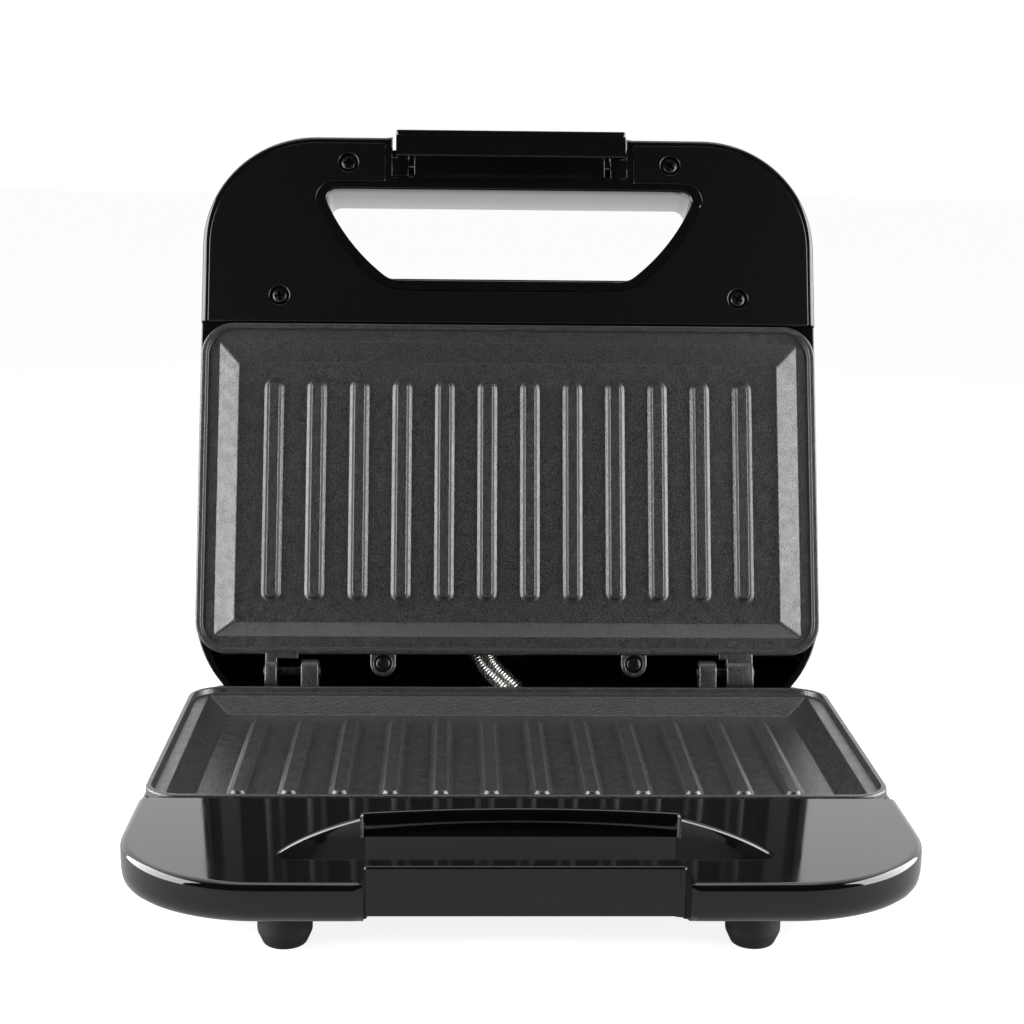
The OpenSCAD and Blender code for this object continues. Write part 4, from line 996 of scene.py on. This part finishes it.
# %% [markdown]
# ### Pins
#
# Plain blackened steel pins with rounded ends. Two are pressed into the lower plate's lugs, a thin one
# carries the latch.


# %% Pins along the hinge and in the latch
def pin(name, x0, x1, y, z, r, place, body, node_name):
    shell = Shell()
    slab(shell, lambda s: circle(y, z, r - s, 40), x0, x1, 0.35, lying)
    dress(shell.build(name, place), body, black_oxide, node_name)


for side in ("left", "right"):
    name = "hinge_pin_" + side
    x0, x1 = (corner[0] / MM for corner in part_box(name))
    pin("steel_pin_" + side, x0, x1, HINGE_BACK, HINGE_RISE, PIN_R, base_place, "base", name)
LATCH_Y, LATCH_Z = -184.5, -8
pin("latch_axle", -46.3, 46.3, LATCH_Y, LATCH_Z, 1.25, lid_place, "lid", "latch_pin")

# %% [markdown]
# ### Screws by Geometry Nodes
#
# Every screw that shows is the same cross-head screw. Its head is drawn once: a flat dome with a cross
# sunk into it. A node tree puts it on the points of a mesh that holds nothing but places.


# %% One screw head
def screw_head():
    shell = Shell()
    dome = [(0.4, -0.02), (1.2, -0.08), (2.0, -0.22), (2.5, -0.42), (2.8, -0.75), (2.9, -1.1), (2.9, -1.4),
            (1.4, -1.45)]
    shell.stack([(circle(0, 0, r, 48), z) for r, z in dome])
    shell.fill(circle(0, 0, 0.4, 48), [], -0.02)
    shaft = circle(0, 0, 1.4, 48)
    shell.stack([(shaft, -1.45), (shaft, -4)])
    shell.fill(shaft, [], -4, face_up=False)
    head = plain(shell.verts, shell.faces, "head")
    cut = Shell()
    arm = [(1.9, 0.42), (0.42, 0.42), (0.42, 1.9)]
    cross = np.array([(x * math.cos(a) - y * math.sin(a), x * math.sin(a) + y * math.cos(a))
                      for a in np.radians((0, 90, 180, 270)) for x, y in arm])
    cut.stack([(cross, 1), (cross, 0), (cross * 0.62, -1.05)])
    cut.fill(cross, [], 1)
    cut.fill(cross * 0.62, [], -1.05, face_up=False)
    tool = plain(cut.verts, cut.faces, "cross")
    for ob in (head, tool):
        bm = bmesh.new()
        bm.from_mesh(ob.data)
        bmesh.ops.remove_doubles(bm, verts=bm.verts, dist=0.001)
        bm.to_mesh(ob.data)
        bm.free()
    mod = head.modifiers.new("cross", "BOOLEAN")
    mod.object, mod.operation = tool, "DIFFERENCE"
    mesh = bpy.data.meshes.new_from_object(head.evaluated_get(bpy.context.evaluated_depsgraph_get()))
    head.modifiers.clear()
    head.data = mesh
    bpy.data.objects.remove(tool)
    return head


def scatter_tree():
    """Puts another object's mesh on each point, with a turn of its own."""
    t, put = new_tree("copies_on_points", Screw=("Object",), Turn=("Float", 0.7))
    what = node(t, "GeometryNodeObjectInfo", {}, {"Object": put["Screw"]})
    which = node(t, "GeometryNodeInputIndex").outputs[0]
    turn = node(t, "ShaderNodeCombineXYZ", {}, {"Z": calc(t, "MULTIPLY", which, put["Turn"])})
    copies = node(t, "GeometryNodeInstanceOnPoints", {}, {
        "Points": put["Geometry"], "Instance": what.outputs["Geometry"], "Rotation": turn.outputs[0]})
    return end_tree(t, copies.outputs[0], put["Material"])


# %% Screws of the lid's cover and plate, and of the bottom
scatter = scatter_tree()
head = screw_head()


def screws(name, places, z, body, node_name):
    """Screws with their heads at height z: up in the lid, blackened, and down in the base, zinc plated."""
    sign, place, look = (1, lid_place, black_oxide) if body == "lid" else (-1, base_place, zinc)
    points = plain([(x, y * sign, z * sign) for x, y in places], [])
    verts, faces = grown_by(scatter, points, Screw=head, Turn=0.7, Material=look)
    shell = Shell()
    add_to(shell, [(x, y * sign, h * sign) for x, y, h in verts], faces)
    dress(shell.build(name, place, 28), body, look, node_name)


BOTTOM = -31.4
screws("cover_screws", lid_screws, -0.75, "lid", "lid_cover_screws")
screws("tab_screws", [(x, TAB_Y) for x in PLATE_TABS], -0.7, "lid", "upper_plate_screws")
outer = [(-88, -129), (88, -129), (-92, 8), (92, 8), (6, -1)]
screws("bottom_screws", outer, BOTTOM, "base", "base_cover_screws")
screws("post_screws", [(x, y) for x in (-96, 96) for y in (-104, -18)], BOTTOM, "base", "lower_plate_screws")
bpy.data.objects.remove(head)

# %% [markdown]
# ## The latch
#
# A bent clip: two arms with ears on a steel pin, a cross plate between them and a lip that hooks under the
# handle of the base. It is moulded in the same gloss black as the housings.

# %% Latch
LATCH, EAR = 42.2, 4.2
shell = Shell()
standing = Matrix(((1, 0, 0, 0), (0, 0, -1, 0), (0, 1, 0, 0), (0, 0, 0, 1)))


def latch_path(s):
    """Cross plate with its two arms, wide at the plate and narrow at the pin, as one bridge."""
    q = lambda r: max(r - s, 0.05)
    thin, wide = LATCH - EAR + s, LATCH - 10 + s
    outside = [(LATCH - s, -12 + s, q(1.2), 4), (LATCH - s, 18.6 - s, q(1.0), 4)]
    inside_edge = [(-wide, 6.2 + s, 1 + s, 4), (-wide, 1 + s, q(1), 4), (-thin, 1 + s, 0.6 + s, 4)]
    return round_path(both_sides([(thin, -12 + s, q(1.2), 4)] + outside) + both_sides(inside_edge[::-1]))


slab(shell, latch_path, 189.0, 191.5, 0.55, standing)
slab(shell, box_path(-LATCH, LATCH, 16.2, 18.6), 181.8, 189.6, 0.5, standing)
for side in (-1, 1):
    x0, x1 = sorted((side * (LATCH - EAR), side * LATCH))

    def ear(s):
        r = 3.2 - s
        round_end = [(LATCH_Y + r * math.cos(a), r * math.sin(a) + LATCH_Z)
                     for a in np.linspace(-math.pi / 2, math.pi / 2, 17)]
        return np.array([(-189.2, LATCH_Z - r)] + round_end + [(-189.2, r + LATCH_Z)])
    slab(shell, ear, x0, x1, 0.4, lying, [circle(LATCH_Y, LATCH_Z, 1.3, 24)])
dress(shell.build("latch_clip", lid_place), "latch", gloss_abs, "latch")

# %% [markdown]
# ## Conduit by Geometry Nodes
#
# The wires that feed the lid's element cross the hinge inside a close-wound steel spring, which can bend
# and stretch. Its axis is a curve from the base's bracket to the lid's. The node tree winds a helix round
# that axis and sweeps a round wire along it: number of curls, radius of the coil and radius of the wire
# are its inputs.

# %% Axis of the conduit, in the base's frame
lean = math.radians(OPEN - 90)
lid_up = np.array((0, math.sin(lean), math.cos(lean)))
low_end = np.array((6, 9.5, -15))
high_end = np.array(base_place.inverted() @ (lid_place @ Vector((-9.5, -4.6, -14))))
guide = [low_end, low_end + (0, 0, 13), high_end - 12 * lid_up, high_end]


def along(t):
    weights = ((1 - t) ** 3, 3 * t * (1 - t) ** 2, 3 * t * t * (1 - t), t ** 3)
    return sum(w * p for w, p in zip(weights, guide))


axis = [low_end - (0, 0, 9)] + [along(k / 60) for k in range(61)] + [high_end + 9 * lid_up]


# %% Node tree: wire wound round an axis
def coil_tree():
    t, put = new_tree("wound_wire", Curls=("Int", 40), Coil=("Float", 3.4), Wire=("Float", 0.4))

    def vector(operation, a, b=None, scale=None):
        links = {0: a, 1: b} if scale is None else {0: a, "Scale": scale}
        return node(t, "ShaderNodeVectorMath", {}, links, operation=operation).outputs[0]

    curve = node(t, "GeometryNodeMeshToCurve", {}, {0: put["Geometry"]})
    many = calc(t, "MULTIPLY", put["Curls"], 16.0)
    fine = node(t, "GeometryNodeResampleCurve", {}, {"Curve": curve.outputs[0], "Count": many})
    along_axis = node(t, "GeometryNodeSplineParameter").outputs["Factor"]
    angle = calc(t, "MULTIPLY", calc(t, "MULTIPLY", along_axis, put["Curls"]), 2 * math.pi)
    normal = node(t, "GeometryNodeInputNormal").outputs[0]
    tangent = node(t, "GeometryNodeInputTangent").outputs[0]
    side = vector("CROSS_PRODUCT", tangent, normal)
    a = vector("SCALE", normal, scale=calc(t, "COSINE", angle))
    b = vector("SCALE", side, scale=calc(t, "SINE", angle))
    out = vector("SCALE", vector("ADD", a, b), scale=put["Coil"])
    wound = node(t, "GeometryNodeSetPosition", {}, {"Geometry": fine.outputs[0], "Offset": out})
    ring = node(t, "GeometryNodeCurvePrimitiveCircle", {"Resolution": 8}, {"Radius": put["Wire"]})
    wire = node(t, "GeometryNodeCurveToMesh", {"Fill Caps": True}, {"Curve": wound.outputs[0],
                                                                   "Profile Curve": ring.outputs[0]})
    return end_tree(t, wire.outputs[0], put["Material"])


# %% Conduit
def wind(shell, shift, material, **values):
    """Adds what the tree winds round the axis, moved aside by shift."""
    edges = [(k, k + 1) for k in range(len(axis) - 1)]
    line = placed("axis", mesh_of("axis", [p + (shift, 0, 0) for p in axis], edges, []))
    add_to(shell, *grown_by(coil, line, Material=material, **values))


def across_hinge(shell, name, material, cad_node):
    """A piece that runs between the base's end of the conduit and the lid's, its place baked into the mesh.
    """
    ob = shell.build(name, base_place, 60, merge=0.0005)
    paint(ob, material)
    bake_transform(ob)
    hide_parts(cad_node)


coil = coil_tree()
shell = Shell()
wind(shell, 0, bright_wire, Curls=46, Coil=4.08, Wire=0.42)
across_hinge(shell, "wound_conduit", bright_wire, "spring_conduit")
# the two sleeved wires inside it, side by side
shell = Shell()
for shift in (-1.2, 1.2):
    wind(shell, shift, glass_sleeve, Curls=4, Coil=0.0, Wire=0.9)
across_hinge(shell, "sleeved_wires", glass_sleeve, "conduit_leads")

# %% [markdown]
# ## Feet
#
# Soft rubber feet that narrow like a bowl towards the table. The two at the front are longer, because the
# bottom rises there towards the handle.


# %% Feet
def foot(name, x, y, top):
    line = section([(0.5, 0, 0), (6.2, 0, 1.8), (8.2, 4.4, 3.5), (8.2, top, 0.6), (6, top, 0)])
    shell = Shell()
    shell.stack([(circle(x, y, r, 48), -40 + h) for r, h in line][::-1])
    shell.fill(circle(x, y, 0.5, 48), [], -40, face_up=False)
    dress(shell.build(name, base_place, 40), "base", foot_rubber, "foot_" + name[7:])


for end, y, top in (("front", -139, 10.4), ("rear", 8, 8.5)):
    for side, x in (("left", -69.5), ("right", 69.5)):
        foot("rubber_" + end + "_" + side, x, y, top)

# %% [markdown]
# ## Studio
#
# Black gloss has no colour to light, it only mirrors its surroundings, so the studio is built from what
# should show in it. Behind the object the surround is white, in front of it the room is dark, and a soft
# box on each side draws the bright lines along edges, flanks and ribs. A third one hangs overhead. Light
# Path tells the rays apart: the camera sees a white room and a white floor, mirrored rays see the floor
# dark in front of the object and bright behind it.


# %% World
def graded(t, source, near, far, dark, bright):
    """A value that rises along Y from near to far."""
    place = node(t, "ShaderNodeTexCoord").outputs[source]
    along_y = node(t, "ShaderNodeSeparateXYZ", {}, {0: place}).outputs["Y"]
    values = {"From Min": near, "From Max": far, "To Min": dark, "To Max": bright}
    return node(t, "ShaderNodeMapRange", values, {"Value": along_y}).outputs[0]


world = bpy.data.worlds.new("studio")
bpy.context.scene.world = world
world.use_nodes = True
t = world.node_tree
t.nodes.clear()
room = graded(t, "Generated", -0.15, 0.45, 0.02, 1.5)
path = node(t, "ShaderNodeLightPath").outputs
soft = node(t, "ShaderNodeMix", {2: 0.35}, {0: path["Is Glossy Ray"], 3: room})
seen = calc(t, "ADD", path["Is Camera Ray"], path["Is Transmission Ray"], use_clamp=True)
strength = node(t, "ShaderNodeMix", {3: 1.0}, {0: seen, 2: soft.outputs[0]})
sky = node(t, "ShaderNodeBackground", {"Color": (1, 1, 1, 1)}, {"Strength": strength.outputs[0]})
node(t, "ShaderNodeOutputWorld", {}, {0: sky.outputs[0]})

# %% Floor
floor_corners = [(-6, -6, 0), (6, -6, 0), (6, 8, 0), (-6, 8, 0)]
floor = placed("floor", mesh_of("floor", floor_corners, [], [(0, 1, 2, 3)]))
floor_paint = bpy.data.materials.new("floor_paint")
floor_paint.use_nodes = True
t = floor_paint.node_tree
t.nodes.clear()
path = node(t, "ShaderNodeLightPath").outputs
seen = calc(t, "ADD", path["Is Camera Ray"], path["Is Glossy Ray"], use_clamp=True)
share = calc(t, "MULTIPLY", seen, 0.65)
behind = graded(t, "Object", 0.15, 0.4, 0.05, 1.6)
bright = node(t, "ShaderNodeMix", {3: 1.33}, {0: path["Is Camera Ray"], 2: behind})
matt = node(t, "ShaderNodeBsdfDiffuse", {"Color": lin("#f4f4f4")})
glow = node(t, "ShaderNodeEmission", {"Color": (1, 1, 1, 1)}, {"Strength": bright.outputs[0]})
both = node(t, "ShaderNodeMixShader", {}, {0: share, 1: matt.outputs[0], 2: glow.outputs[0]})
node(t, "ShaderNodeOutputMaterial", {}, {0: both.outputs[0]})
floor.data.materials.append(floor_paint)


# %% Lamps
def soft_box(name, at, toward, wide, high, radiance):
    """A rectangular soft box; its power follows from how bright its face should look."""
    data = bpy.data.lights.new(name, "AREA")
    data.shape, data.size, data.size_y = "RECTANGLE", wide, high
    data.energy = radiance * math.pi * wide * high
    ob = placed(name, data)
    ob.location = at
    ob.rotation_euler = (Vector(toward) - Vector(at)).to_track_quat("-Z", "Y").to_euler()


for name, x in (("box_left", -0.5), ("box_right", 0.5)):
    soft_box(name, (x, -0.05, 0.24), (0, 0, 0.2), 0.6, 0.5, 10)
soft_box("box_above", (0, 0.2, 1.1), (0, 0.05, 0.1), 0.8, 0.4, 1.5)

bpy.context.scene.view_settings.view_transform = "Standard"
